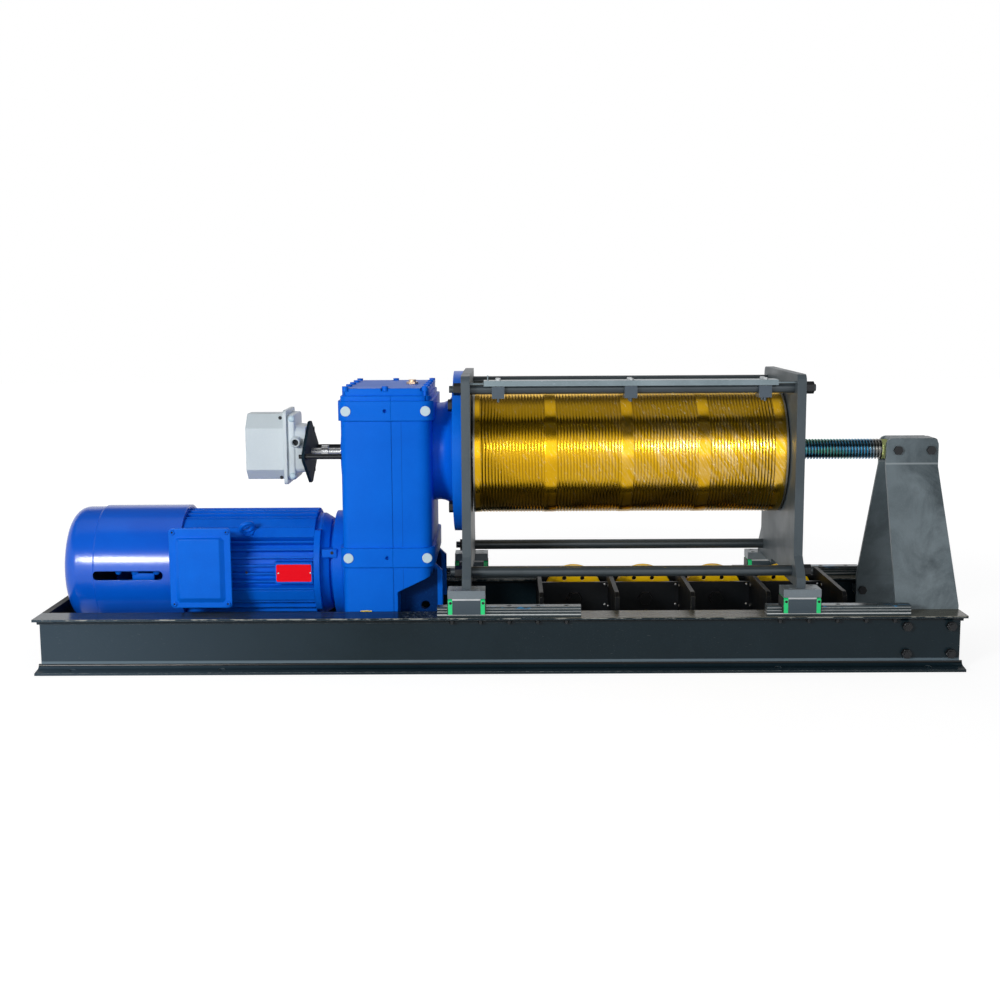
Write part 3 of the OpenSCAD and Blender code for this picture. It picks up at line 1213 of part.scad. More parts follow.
// Drum
// One rope groove from x: land, flank, bottom and flank, as shares of the pitch and of the depth
groove_shares = [[0.08, 0], [0.25, 0.7], [0.5, 1], [0.75, 0.7], [0.92, 0]];
function groove_points(x) =
    [for (g = groove_shares) [shell_r - groove_depth * g[1], x + groove_pitch * g[0]]];
module drum_shell() color("goldenrod") turned_x(axis_z) polygon(concat(
    [[bore_r, drum_x0 + rim_t], [shell_r, drum_x0 + rim_t]],
    [for (x = section_xs, i = [0:groove_count - 1]) each groove_points(x + i * groove_pitch)],
    [[shell_r, drum_x1 - rim_t], [bore_r, drum_x1 - rim_t]]));
module drum_ends() color("silver") translate([0, 0, axis_z]) {
    difference() {
        union() {
            rod_x(drum_d, drum_x0, drum_x0 + rim_t);
            rod_x(2 * (bore_r - play), drum_x0, drum_x0 + disc_t);
            rod_x(2 * out_shaft_d, drum_x0, drum_x0 + 3 * disc_t);
        }
        rod_x(out_shaft_d + 2 * play, drum_x0 - cut, drum_x0 + 3 * disc_t + cut);
    }
    difference() {
        union() {
            rod_x(drum_d, drum_x1 - rim_t, drum_x1);
            rod_x(2 * (bore_r - play), drum_x1 - disc_t, drum_x1);
            rod_x(hub_d, drum_x1 - nut_len, right_face_x + hub_out);
        }
        rod_x(nut_d + 2 * play, drum_x1 - nut_len - cut, right_face_x + hub_out + cut);
    }
}
module screw_nut() color("peru") translate([0, 0, axis_z]) difference() {
    union() {
        rod_x(nut_d, drum_x1 - nut_len, right_face_x + hub_out + cut);
        rod_x(nut_flange_d, right_face_x + hub_out, right_face_x + hub_out + nut_flange_t);
    }
    rod_x(screw_d + 2 * run_play, drum_x1 - nut_len - cut, right_face_x + hub_out + nut_flange_t + cut);
}

front_beam();
rear_beam();
cross_plates();
cheek_plates();
sheave_axles();
guide_rails();
rail_bolts();
bracket_sheets();
bracket_head_block();
bracket_bolts();
foot_packers();
lead_screw();
screw_lock_nut();
sheave_1();
sheave_2();
sheave_3();
sheave_4();
left_side_plate();
right_side_plate();
tie_rods();
tie_rod_nuts();
riser_blocks();
riser_bolts();
guide_blocks();
guide_end_caps();
guide_seals();
drum_bearing();
gear_case_motor_side();
gear_case_drum_side();
gear_top_cover();
cover_bolts();
plug_caps();
breather();
output_flange();
flange_bolts();
gear_bearings();
motor_adapter();
motor_frame();
stator_core();
motor_end_shields();
brake_magnet();
fan_cowl();
terminal_box();
terminal_cover();
eye_bolt();
nameplate();
switch_plate();
switch_rods();
switch_body();
switch_hood();
cover_bar();
bar_clamps();
drum_shell();
drum_ends();
output_shaft();
screw_nut();
switch_shaft();
intermediate_gear();
motor_rotor();
cooling_fan();
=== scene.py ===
# Stage winch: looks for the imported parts, in metres.
# +X runs from the motor to the screw bracket, +Y to the rear and +Z up.
import math

import bpy
import numpy as np
from mathutils import Matrix, Vector


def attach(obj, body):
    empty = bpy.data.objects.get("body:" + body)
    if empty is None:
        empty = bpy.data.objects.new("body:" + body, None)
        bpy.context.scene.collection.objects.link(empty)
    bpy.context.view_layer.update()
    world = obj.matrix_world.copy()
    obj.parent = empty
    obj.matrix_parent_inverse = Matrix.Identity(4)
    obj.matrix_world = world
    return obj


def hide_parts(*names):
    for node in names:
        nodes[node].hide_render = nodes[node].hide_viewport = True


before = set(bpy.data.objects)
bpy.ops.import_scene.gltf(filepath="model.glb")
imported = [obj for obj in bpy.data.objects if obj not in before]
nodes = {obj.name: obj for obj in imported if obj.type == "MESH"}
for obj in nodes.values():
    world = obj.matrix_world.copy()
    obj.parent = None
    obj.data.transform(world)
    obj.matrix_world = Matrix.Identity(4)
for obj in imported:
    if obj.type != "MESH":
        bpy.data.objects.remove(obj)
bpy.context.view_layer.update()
print("frame loaded:", len(nodes), "nodes")

# Camera at the photograph's place; focal length in pixels of a 1000 x 1000 image
camera = {"place": (0.023, -4.085, 1.027), "pitch": 8.1, "yaw": 0.289, "roll": 0.315, "focalPixels": 1390,
          "imagePixels": 1000}
# Lamps: power in watts, size, place and the point that they face, in metres
lamps = {
    "frontLamp": {"power": 92, "size": (9.0, 3.2), "place": (0.3, -6.2, 1.65), "target": (0.1, 0, 0.4)},
    "leftLamp": {"power": 105, "size": (1.1, 0.5), "place": (-2.3, -4.0, 1.52), "target": (-0.4, 0, 0.4)},
    "topLamp": {"power": 13, "size": (7.0, 2.0), "place": (0, 0.05, 3.4), "target": (0, 0, 0.4)},
    "rearLamp": {"power": 24, "size": (3.4, 1.6), "place": (0.2, 3.4, 3.2), "target": (0, 0, 0.4)},
}
# World: light from all round, the dim ceiling that metal shows, and the height where its white wall ends
sky = {"strength": 0.2, "blueTint": 1.03, "ceiling": 0.1, "wallTop": 0.4, "wallFade": 0.16, "zenith": 0.5}
# Floor: half its side, how its brightness to the camera grows with distance, the painted shadow under the
# base
floor = {"half": 14.0, "glow": 0.86, "fadeFrom": 1.6, "fadeTo": 4.5, "shadowHalf": (1.29, 0.30),
         "shadowSoft": 0.1, "shadowLevel": 0.03, "plain": 0.5, "dim": 0.3}


def aim(cam, c):
    # Turned by yaw to the left, pitch down and a small roll
    p, w, r = (math.radians(c[k]) for k in ("pitch", "yaw", "roll"))
    right = Vector((math.cos(w), math.sin(w), 0))
    ahead = Vector((-math.sin(w) * math.cos(p), math.cos(w) * math.cos(p), -math.sin(p)))
    up = right.cross(ahead)
    rolledRight = right * math.cos(r) - up * math.sin(r)
    rolledUp = up * math.cos(r) + right * math.sin(r)
    turn = Matrix((rolledRight, rolledUp, -ahead)).transposed().to_4x4()
    turn.translation = Vector(c["place"])
    cam.matrix_world = turn


cam = bpy.data.objects.new("camera", bpy.data.cameras.new("camera"))
bpy.context.scene.collection.objects.link(cam)
cam.data.sensor_width = 36
cam.data.lens = camera["focalPixels"] / camera["imagePixels"] * 36
cam.data.clip_end = 100
aim(cam, camera)
bpy.context.scene.camera = cam
bpy.context.scene.view_settings.view_transform = "Standard"


def areaLamp(name, d):
    lamp = bpy.data.lights.new(name, "AREA")
    lamp.shape = "RECTANGLE"
    lamp.size, lamp.size_y = d["size"]
    lamp.energy = d["power"]
    o = bpy.data.objects.new(name, lamp)
    bpy.context.scene.collection.objects.link(o)
    o.location = d["place"]
    o.rotation_mode = "QUATERNION"
    o.rotation_quaternion = (Vector(d["target"]) - Vector(d["place"])).to_track_quat("-Z", "Y")


for name, d in lamps.items():
    areaLamp(name, d)


def seenRay(t, glossy):
    # 1 for camera and transmission rays, and for glossy ones where asked
    path = t.nodes.new("ShaderNodeLightPath")
    names = ["Is Camera Ray", "Is Transmission Ray"] + (["Is Glossy Ray"] if glossy else [])
    total = path.outputs[names[0]]
    for n in names[1:]:
        m = t.nodes.new("ShaderNodeMath")
        m.operation = "MAXIMUM"
        t.links.new(total, m.inputs[0])
        t.links.new(path.outputs[n], m.inputs[1])
        total = m.outputs[0]
    return total


def makeWorld():
    # White backdrop to the camera, plain grey as light; metal sees a white wall and a dim ceiling
    world = bpy.data.worlds.new("studio")
    world.use_nodes = True
    bpy.context.scene.world = world
    t = world.node_tree
    t.nodes.clear()
    coord = t.nodes.new("ShaderNodeTexCoord")
    split = t.nodes.new("ShaderNodeSeparateXYZ")
    ramp = t.nodes.new("ShaderNodeValToRGB")
    top, dim = sky["wallTop"], sky["ceiling"]
    stops = ((0.0, 1.0), (top, 1.0), (top + sky["wallFade"], dim), (0.93, dim), (1.0, sky["zenith"]))
    el = ramp.color_ramp.elements
    while len(el) < len(stops):
        el.new(0.5)
    for e, (at, value) in zip(el, stops):
        e.position = at
        e.color = (value, value, value, 1)
    t.links.new(coord.outputs["Generated"], split.inputs[0])
    t.links.new(split.outputs["Z"], ramp.inputs[0])
    path = t.nodes.new("ShaderNodeLightPath")
    wall = t.nodes.new("ShaderNodeMix")
    wall.data_type = "RGBA"
    wall.inputs["A"].default_value = (sky["strength"], sky["strength"], sky["strength"] * sky["blueTint"], 1)
    t.links.new(path.outputs["Is Glossy Ray"], wall.inputs["Factor"])
    t.links.new(ramp.outputs["Color"], wall.inputs["B"])
    seen = t.nodes.new("ShaderNodeMix")
    seen.data_type = "RGBA"
    seen.inputs["B"].default_value = (1, 1, 1, 1)
    t.links.new(seenRay(t, False), seen.inputs["Factor"])
    t.links.new(wall.outputs["Result"], seen.inputs["A"])
    back = t.nodes.new("ShaderNodeBackground")
    out = t.nodes.new("ShaderNodeOutputWorld")
    t.links.new(seen.outputs["Result"], back.inputs["Color"])
    t.links.new(back.outputs[0], out.inputs["Surface"])


def makeFloor():
    # A wide pale floor. The camera and metal see it glow to white far away, with the object's soft shadow
    me = bpy.data.meshes.new("floor")
    r = floor["half"]
    me.from_pydata([(-r, -r, 0), (r, -r, 0), (r, r, 0), (-r, r, 0)], [], [(0, 1, 2, 3)])
    o = bpy.data.objects.new("floor", me)
    bpy.context.scene.collection.objects.link(o)
    m = bpy.data.materials.new("paleFloor")
    m.use_nodes = True
    t = m.node_tree
    t.nodes.clear()
    coord = t.nodes.new("ShaderNodeTexCoord")
    far = t.nodes.new("ShaderNodeVectorMath")
    far.operation = "LENGTH"
    t.links.new(coord.outputs["Object"], far.inputs[0])
    fade = t.nodes.new("ShaderNodeMapRange")
    fade.interpolation_type = "SMOOTHSTEP"
    for k, v in (("From Min", floor["fadeFrom"]), ("From Max", floor["fadeTo"]), ("To Min", floor["glow"]),
                 ("To Max", 1.0)):
        fade.inputs[k].default_value = v
    t.links.new(far.outputs["Value"], fade.inputs["Value"])
    # Painted contact shadow under the base: the glow fades inside its footprint
    split = t.nodes.new("ShaderNodeSeparateXYZ")
    t.links.new(coord.outputs["Object"], split.inputs[0])
    inside = []
    for axis, half in zip("XY", floor["shadowHalf"]):
        size = t.nodes.new("ShaderNodeMath")
        size.operation = "ABSOLUTE"
        near = t.nodes.new("ShaderNodeMapRange")
        for k, v in (("From Min", half - floor["shadowSoft"]), ("From Max", half), ("To Min", 1.0),
                     ("To Max", 0.0)):
            near.inputs[k].default_value = v
        t.links.new(split.outputs[axis], size.inputs[0])
        t.links.new(size.outputs[0], near.inputs["Value"])
        inside.append(near.outputs["Result"])
    cover = t.nodes.new("ShaderNodeMath")
    cover.operation = "MULTIPLY"
    shade = t.nodes.new("ShaderNodeMapRange")
    shade.inputs["To Min"].default_value = 1.0
    shade.inputs["To Max"].default_value = floor["shadowLevel"]
    level = t.nodes.new("ShaderNodeMath")
    level.operation = "MULTIPLY"
    for k, socket in enumerate(inside):
        t.links.new(socket, cover.inputs[k])
    t.links.new(cover.outputs[0], shade.inputs["Value"])
    t.links.new(shade.outputs["Result"], level.inputs[0])
    t.links.new(fade.outputs["Result"], level.inputs[1])
    plain = t.nodes.new("ShaderNodeBsdfDiffuse")
    plain.inputs["Color"].default_value = (floor["plain"],) * 3 + (1,)
    dim = t.nodes.new("ShaderNodeBsdfDiffuse")
    dim.inputs["Color"].default_value = (floor["dim"],) * 3 + (1,)
    glow = t.nodes.new("ShaderNodeEmission")
    both = t.nodes.new("ShaderNodeAddShader")
    pick = t.nodes.new("ShaderNodeMixShader")
    out = t.nodes.new("ShaderNodeOutputMaterial")
    t.links.new(level.outputs[0], glow.inputs["Strength"])
    t.links.new(dim.outputs[0], both.inputs[0])
    t.links.new(glow.outputs[0], both.inputs[1])
    t.links.new(seenRay(t, True), pick.inputs[0])
    t.links.new(plain.outputs[0], pick.inputs[1])
    t.links.new(both.outputs[0], pick.inputs[2])
    t.links.new(pick.outputs[0], out.inputs["Surface"])
    me.materials.append(m)


makeWorld()
makeFloor()
print("camera and light done")


def newGroup(name, ins, outs):
    g = bpy.data.node_groups.new(name, "ShaderNodeTree")
    for n, kind, value in ins:
        s = g.interface.new_socket(name=n, in_out="INPUT", socket_type=kind)
        s.default_value = value
    for n, kind in outs:
        g.interface.new_socket(name=n, in_out="OUTPUT", socket_type=kind)
    return g, g.nodes.new("NodeGroupInput"), g.nodes.new("NodeGroupOutput")


def setOrLink(t, socket, value):
    if isinstance(value, (int, float)):
        socket.default_value = value
    elif isinstance(value, tuple):
        socket.default_value = (*value[:3], 1) if len(socket.default_value) == 4 else value
    else:
        t.links.new(value, socket)


def mathNode(t, op, a, b=None, clamp=False):
    n = t.nodes.new("ShaderNodeMath")
    n.operation = op
    n.use_clamp = clamp
    setOrLink(t, n.inputs[0], a)
    if b is not None:
        setOrLink(t, n.inputs[1], b)
    return n.outputs[0]


def rangeNode(t, value, a, b, c=0.0, d=1.0):
    n = t.nodes.new("ShaderNodeMapRange")
    for k, v in (("Value", value), ("From Min", a), ("From Max", b), ("To Min", c), ("To Max", d)):
        setOrLink(t, n.inputs[k], v)
    return n.outputs["Result"]


def noiseNode(t, vector, scale, detail=4.0, rough=0.55, distortion=0.0):
    n = t.nodes.new("ShaderNodeTexNoise")
    t.links.new(vector, n.inputs["Vector"])
    setOrLink(t, n.inputs["Scale"], scale)
    n.inputs["Detail"].default_value = detail
    n.inputs["Roughness"].default_value = rough
    n.inputs["Distortion"].default_value = distortion
    return n.outputs["Fac"]


def mixColor(t, factor, a, b):
    n = t.nodes.new("ShaderNodeMix")
    n.data_type = "RGBA"
    for key, v in (("Factor", factor), ("A", a), ("B", b)):
        setOrLink(t, n.inputs[key], v)
    return n.outputs["Result"]


def objectPlace(t):
    return t.nodes.new("ShaderNodeTexCoord").outputs["Object"]


def stretched(t, scale, turn=(0, 0, 0), shift=(0, 0, 0)):
    m = t.nodes.new("ShaderNodeMapping")
    m.inputs["Rotation"].default_value = turn
    m.inputs["Location"].default_value = shift
    t.links.new(objectPlace(t), m.inputs["Vector"])
    s = t.nodes.new("ShaderNodeVectorMath")
    s.operation = "MULTIPLY"
    t.links.new(m.outputs[0], s.inputs[0])
    setOrLink(t, s.inputs[1], scale)
    return s.outputs[0]


def makeEdgeGroup():
    # Rounded-edge normal, and a mask of worn edges: how far it leans from the true one, broken by noise
    g, i, o = newGroup("edgeWear", [("Radius", "NodeSocketFloat", 0.002), ("Scale", "NodeSocketFloat", 60.0),
                                    ("Amount", "NodeSocketFloat", 0.5)],
                       [("Mask", "NodeSocketFloat"), ("Normal", "NodeSocketVector")])
    bevel = g.nodes.new("ShaderNodeBevel")
    bevel.samples = 4
    g.links.new(i.outputs["Radius"], bevel.inputs["Radius"])
    geo = g.nodes.new("ShaderNodeNewGeometry")
    dot = g.nodes.new("ShaderNodeVectorMath")
    dot.operation = "DOT_PRODUCT"
    g.links.new(bevel.outputs[0], dot.inputs[0])
    g.links.new(geo.outputs["Normal"], dot.inputs[1])
    lean = rangeNode(g, dot.outputs["Value"], 0.995, 0.9)
    spots = noiseNode(g, objectPlace(g), i.outputs["Scale"], 5, 0.65)
    mask = mathNode(g, "MULTIPLY", mathNode(g, "MULTIPLY", lean, rangeNode(g, spots, 0.35, 0.65)),
                    i.outputs["Amount"], clamp=True)
    g.links.new(mask, o.inputs["Mask"])
    g.links.new(bevel.outputs[0], o.inputs["Normal"])
    return g


def makeCloudGroup():
    # Soft blotches and fine specks over the surface, from two noises
    g, i, o = newGroup("blotches", [("Scale", "NodeSocketFloat", 6.0), ("Specks", "NodeSocketFloat", 220.0)],
                       [("Blotch", "NodeSocketFloat"), ("Speck", "NodeSocketFloat")])
    a = noiseNode(g, objectPlace(g), i.outputs["Scale"], 5, 0.6, 0.4)
    b = noiseNode(g, objectPlace(g), i.outputs["Specks"], 2, 0.5)
    g.links.new(rangeNode(g, a, 0.3, 0.72), o.inputs["Blotch"])
    g.links.new(rangeNode(g, b, 0.55, 0.72), o.inputs["Speck"])
    return g


def makeGrainGroup():
    # Grinding or drawing lines: noise stretched along one axis
    g, i, o = newGroup("grain", [("Stretch", "NodeSocketVector", (4.0, 900.0, 900.0))],
                       [("Line", "NodeSocketFloat")])
    g.links.new(noiseNode(g, stretched(g, i.outputs["Stretch"]), 1.0, 3, 0.6), o.inputs["Line"])
    return g


def makeScratchGroup():
    # Short thin scratches in three directions, the peaks of stretched noise, and chips, those of fine noise
    g, i, o = newGroup("scratches", [("Amount", "NodeSocketFloat", 0.5), ("Chips", "NodeSocketFloat", 0.5)],
                       [("Mask", "NodeSocketFloat")])
    total = None
    for turn, shift in (((0.0, 0.12, 0.1), (0.3, 0.1, 0)), ((0.1, -0.5, 0.5), (1.3, 0.7, 0.2)),
                        ((0.3, 1.2, -0.6), (2.1, 0.4, 0.9))):
        streak = noiseNode(g, stretched(g, (14.0, 620.0, 620.0), turn, shift), 1.0, 1, 0.5)
        line = rangeNode(g, streak, 0.74, 0.8)
        total = line if total is None else mathNode(g, "MAXIMUM", total, line)
    chips = mathNode(g, "MULTIPLY", rangeNode(g, noiseNode(g, objectPlace(g), 150.0, 4, 0.7), 0.7, 0.74),
                     i.outputs["Chips"])
    where = rangeNode(g, noiseNode(g, objectPlace(g), 4.0, 2), 0.45, 0.65)
    both = mathNode(g, "MULTIPLY", mathNode(g, "MAXIMUM", mathNode(g, "MULTIPLY", total, i.outputs["Amount"]),
                                            chips), where, clamp=True)
    g.links.new(both, o.inputs["Mask"])
    return g


def makeBandGroup():
    # 1 where a value lies between two limits, with soft ends
    g, i, o = newGroup("bandMask", [("Value", "NodeSocketFloat", 0.0), ("From", "NodeSocketFloat", 0.0),
                                    ("To", "NodeSocketFloat", 1.0), ("Soft", "NodeSocketFloat", 0.001)],
                       [("Mask", "NodeSocketFloat")])
    a, b, s = i.outputs["From"], i.outputs["To"], i.outputs["Soft"]
    rise = rangeNode(g, i.outputs["Value"], mathNode(g, "SUBTRACT", a, s), a)
    fall = rangeNode(g, i.outputs["Value"], b, mathNode(g, "ADD", b, s), 1.0, 0.0)
    g.links.new(mathNode(g, "MULTIPLY", rise, fall), o.inputs["Mask"])
    return g


def makeFilmGroup():
    # Clinging film: creases from two warped noises, and thin painted glints, a painted highlight, on their
    # crests
    g, i, o = newGroup("clingFilm", [("Stretch", "NodeSocketVector", (20.0, 8.0, 8.0))],
                       [("Height", "NodeSocketFloat"), ("PaintedGlint", "NodeSocketFloat")])
    v = stretched(g, i.outputs["Stretch"], (0, 0.55, 0))
    a = noiseNode(g, v, 1.0, 4, 0.6, 1.6)
    b = noiseNode(g, v, 3.1, 3, 0.6, 1.2)
    crease = mathNode(g, "ABSOLUTE", mathNode(g, "SUBTRACT", a, 0.5))
    g.links.new(mathNode(g, "ADD", crease, mathNode(g, "MULTIPLY", b, 0.3)), o.inputs["Height"])
    g.links.new(mathNode(g, "MULTIPLY", rangeNode(g, crease, 0.012, 0.0), rangeNode(g, b, 0.52, 0.6),
                         clamp=True), o.inputs["PaintedGlint"])
    return g


groups = {"edge": makeEdgeGroup(), "cloud": makeCloudGroup(), "grain": makeGrainGroup(),
          "scratch": makeScratchGroup(), "band": makeBandGroup(), "film": makeFilmGroup()}


def useGroup(t, key, **values):
    n = t.nodes.new("ShaderNodeGroup")
    n.node_tree = groups[key]
    for k, v in values.items():
        setOrLink(t, n.inputs[k], v)
    return n


def band(t, axis, a, b, soft=0.001):
    split = t.nodes.new("ShaderNodeSeparateXYZ")
    t.links.new(objectPlace(t), split.inputs[0])
    return useGroup(t, "band", Value=split.outputs[axis], From=a, To=b, Soft=soft).outputs["Mask"]


def rgb(r, g, b):
    # Screen colour 0-255 to linear
    return tuple(((c / 255 + 0.055) / 1.055) ** 2.4 if c > 10 else c / 255 / 12.92 for c in (r, g, b))


# Drum shell: four grooved zones wound as a true helix of the rope's pitch
drum = {"axis": 0.593, "radius": 0.181, "bore": 0.164, "left": -0.068, "right": 0.815, "firstZone": -0.056,
        "zoneStep": 0.2175, "zoneCount": 4, "pitch": 0.009, "turns": 21, "grooveRadius": 0.0061,
        "grooveDepth": 0.0015, "perPitch": 8, "around": 112}
# Fixed screw: trapezoid thread, then the plain neck through the head block
screw = {"axis": 0.593, "radius": 0.030, "root": 0.0255, "left": 0.650, "right": 1.124, "neck": 0.018,
         "neckEnd": 1.283, "pitch": 0.009, "around": 40}
# How finely the film's folds on the drum run along each axis
filmStretch = (64.0, 14.0, 10.0)


# Marks that one finish has at one place: each takes the tree and the base colour, and gives the new one
def seamMark(t, base):
    # Thin dark joint line of the two case halves, one beside it, and painted shade in the foot's recess
    line = mathNode(t, "MAXIMUM", band(t, "X", -0.3, -0.2985, 0.0006), band(t, "X", -0.272, -0.2712, 0.0006))
    line = mathNode(t, "MULTIPLY", line, mathNode(t, "MAXIMUM", band(t, "Z", 0.345, 0.697, 0.002),
                                                  band(t, "Z", 0.08, 0.282, 0.002)))
    base = mixColor(t, mathNode(t, "MULTIPLY", line, 0.5), base, rgb(4, 50, 140))
    # Painted shade: the recess of the case's foot is darkened
    foot = mathNode(t, "MULTIPLY", band(t, "Z", 0.07, 0.262, 0.012), band(t, "X", -0.286, -0.18, 0.002))
    foot = mathNode(t, "MULTIPLY", foot, band(t, "Y", -0.2, 0.2, 0.002))
    return mixColor(t, mathNode(t, "MULTIPLY", foot, 0.86), base, rgb(0, 20, 58))


def flangeMark(t, base):
    # Painted light: web paler to the left, where the light falls; a painted highlight and painted shade along
    # its lower fillet, painted shade under the upper flange; bare toe line of the upper flange, rust-brown
    # streaks on the flange behind it, rubbed primer left of the first guide block
    x = useSplit(t, "X")
    # Painted light: the web is paler towards its left end
    base = mixColor(t, rangeNode(t, x, -0.35, -1.2, 0.0, 0.8), base, rgb(62, 78, 90))
    # Painted highlight along the lower fillet, and painted shade just below it
    paintedFilletHighlight = mathNode(t, "MULTIPLY", band(t, "Z", 0.0235, 0.030, 0.0015), 0.6)
    base = mixColor(t, paintedFilletHighlight, base, rgb(120, 140, 152))
    base = mixColor(t, band(t, "Z", 0.0175, 0.0225, 0.0012), base, rgb(5, 7, 9))
    # Painted shade under the upper flange
    base = mixColor(t, mathNode(t, "MULTIPLY", band(t, "Z", 0.1425, 0.149, 0.002), 0.8), base, rgb(5, 8, 11))
    worn = rangeNode(t, noiseNode(t, stretched(t, (16.0, 60.0, 60.0)), 1.0, 5, 0.7), 0.5, 0.58)
    toe = mathNode(t, "MULTIPLY", band(t, "Z", 0.1565, 0.1592, 0.0005), worn)
    base = mixColor(t, toe, base, rgb(158, 160, 154))
    rust = mathNode(t, "MULTIPLY", band(t, "Z", 0.1585, 0.17, 0.0005), rangeNode(t, x, 0.1, 0.2, 0.0, 0.75))
    base = mixColor(t, rust, base, rgb(100, 96, 80))
    spots = rangeNode(t, noiseNode(t, stretched(t, (60.0, 300.0, 300.0)), 1.0, 4, 0.7), 0.58, 0.62)
    patch = mathNode(t, "MULTIPLY", band(t, "X", -0.25, -0.15, 0.03), band(t, "Z", 0.1585, 0.17, 0.0005))
    streak = rangeNode(t, noiseNode(t, stretched(t, (7.0, 160.0, 30.0)), 1.0, 4, 0.65), 0.5, 0.68)
    top = mathNode(t, "MULTIPLY", band(t, "Z", 0.1585, 0.17, 0.0005), mathNode(t, "MULTIPLY", streak, 0.28))
    base = mixColor(t, top, base, rgb(128, 126, 118))
    return mixColor(t, mathNode(t, "MULTIPLY", patch, spots), base, rgb(176, 186, 190))


def railMark(t, base):
    # Ground running tracks: light and dark lines along the rail, and remnants of blue film on top
    lines = None
    for z in (0.1655, 0.1735, 0.1815):
        one = band(t, "Z", z, z + 0.0024, 0.0007)
        lines = one if lines is None else mathNode(t, "MAXIMUM", lines, one)
    base = mixColor(t, mathNode(t, "MULTIPLY", lines, 0.85), base, rgb(206, 210, 210))
    film = rangeNode(t, noiseNode(t, stretched(t, (22.0, 90.0, 60.0)), 1.0, 3, 0.6, 0.5), 0.6, 0.64)
    film = mathNode(t, "MULTIPLY", film, band(t, "Z", 0.182, 0.2, 0.001))
    return mixColor(t, mathNode(t, "MULTIPLY", film, 0.8), base, rgb(20, 120, 170))


def blockMark(t, base):
    # Ground upper edge of the guide block
    return mixColor(t, band(t, "Z", 0.2115, 0.2225, 0.0008), base, rgb(196, 200, 202))


def filmMark(t, base):
    # Painted glints, a painted highlight, on the film's folds on the drum, more of them at its right half
    # Painted shade in the roots of the wound grooves: a point's place in its turn is its x in the zone over
    # the pitch, less the share of a circle that its angle makes
    y, z = useSplit(t, "Y"), mathNode(t, "SUBTRACT", useSplit(t, "Z"), drum["axis"])
    share = mathNode(t, "DIVIDE", mathNode(t, "ARCTAN2", mathNode(t, "MULTIPLY", y, -1.0), z), 2 * math.pi)
    along = mathNode(t, "FLOORED_MODULO", mathNode(t, "ADD", useSplit(t, "X"), -drum["firstZone"]),
                     drum["zoneStep"])
    turn = mathNode(t, "FRACT", mathNode(t, "SUBTRACT", mathNode(t, "DIVIDE", along, drum["pitch"]), share))
    off = mathNode(t, "ABSOLUTE", mathNode(t, "SUBTRACT", turn, 0.5))
    wound = mathNode(t, "LESS_THAN", along, drum["pitch"] * drum["turns"] - 0.002)
    root = mathNode(t, "MULTIPLY", rangeNode(t, off, 0.28, 0.14), wound)
    # Painted shade: the groove roots are darkened
    base = mixColor(t, mathNode(t, "MULTIPLY", root, 0.62), base, (0.2, 0.11, 0.01))
    film = useGroup(t, "film", Stretch=filmStretch)
    right = rangeNode(t, useSplit(t, "X"), 0.1, 0.6, 0.35, 1.0)
    haze = rangeNode(t, noiseNode(t, stretched(t, (70.0, 12.0, 9.0), (0, 0.55, 0)), 1.0, 4, 0.6, 0.8), 0.45,
                     0.72, 0.0, 0.4)
    haze = mathNode(t, "MULTIPLY", haze, rangeNode(t, useSplit(t, "X"), 0.15, 0.55))
    haze = mathNode(t, "MULTIPLY", haze, band(t, "Z", 0.53, 0.68, 0.05))
    base = mixColor(t, haze, base, (0.8, 0.66, 0.4))
    # Painted highlight: glints on the film's folds
    return mixColor(t, mathNode(t, "MULTIPLY", film.outputs["PaintedGlint"], right), base, (1.0, 0.93, 0.72))


def screwMark(t, base):
    # Blue-green temper of the screw near the drum, bare steel by the bracket
    warp = mathNode(t, "ADD", useSplit(t, "X"), mathNode(t, "MULTIPLY", noiseNode(t, objectPlace(t), 18.0, 3),
                                                         0.03))
    tint = rangeNode(t, warp, 1.1, 1.125, 1.0, 0.0)
    hue = mixColor(t, rangeNode(t, noiseNode(t, stretched(t, (9.0, 30.0, 30.0)), 1.0, 3), 0.5, 0.66),
                   rgb(14, 132, 178), rgb(34, 150, 120))
    base = mixColor(t, tint, base, hue)
    # Painted shade: the thread roots are darkened
    y, z = useSplit(t, "Y"), mathNode(t, "SUBTRACT", useSplit(t, "Z"), screw["axis"])
    away = mathNode(t, "SQRT", mathNode(t, "ADD", mathNode(t, "MULTIPLY", y, y),
                                        mathNode(t, "MULTIPLY", z, z)))
    thread = rangeNode(t, away, screw["root"] + 0.0027, screw["root"] + 0.0013)
    root = mathNode(t, "MULTIPLY", thread, rangeNode(t, away, screw["root"] - 0.001, screw["root"] - 0.0005))
    return mixColor(t, mathNode(t, "MULTIPLY", root, 0.88), base, rgb(8, 14, 18))


def stainMark(t, base):
    # Cloudy dark stains, more of them to the right, and a painted highlight along the fold under the head
    cloud = rangeNode(t, noiseNode(t, stretched(t, (9.0, 9.0, 6.0)), 1.0, 6, 0.62, 0.6), 0.42, 0.66)
    cloud = mathNode(t, "MULTIPLY", cloud, rangeNode(t, useSplit(t, "X"), 1.14, 1.26, 0.35, 0.8))
    base = mixColor(t, cloud, base, rgb(48, 60, 66))
    # Painted highlight along the fold under the head
    return mixColor(t, mathNode(t, "MULTIPLY", band(t, "Z", 0.552, 0.5555, 0.0015), 0.45), base,
                    rgb(190, 200, 204))


def clampMark(t, base):
    # Zinc-plated screw heads over the painted clamps
    return mixColor(t, band(t, "Z", 0.8113, 0.86, 0.0005), base, rgb(205, 210, 212))


def useSplit(t, axis):
    split = t.nodes.new("ShaderNodeSeparateXYZ")
    t.links.new(objectPlace(t), split.inputs[0])
    return split.outputs[axis]


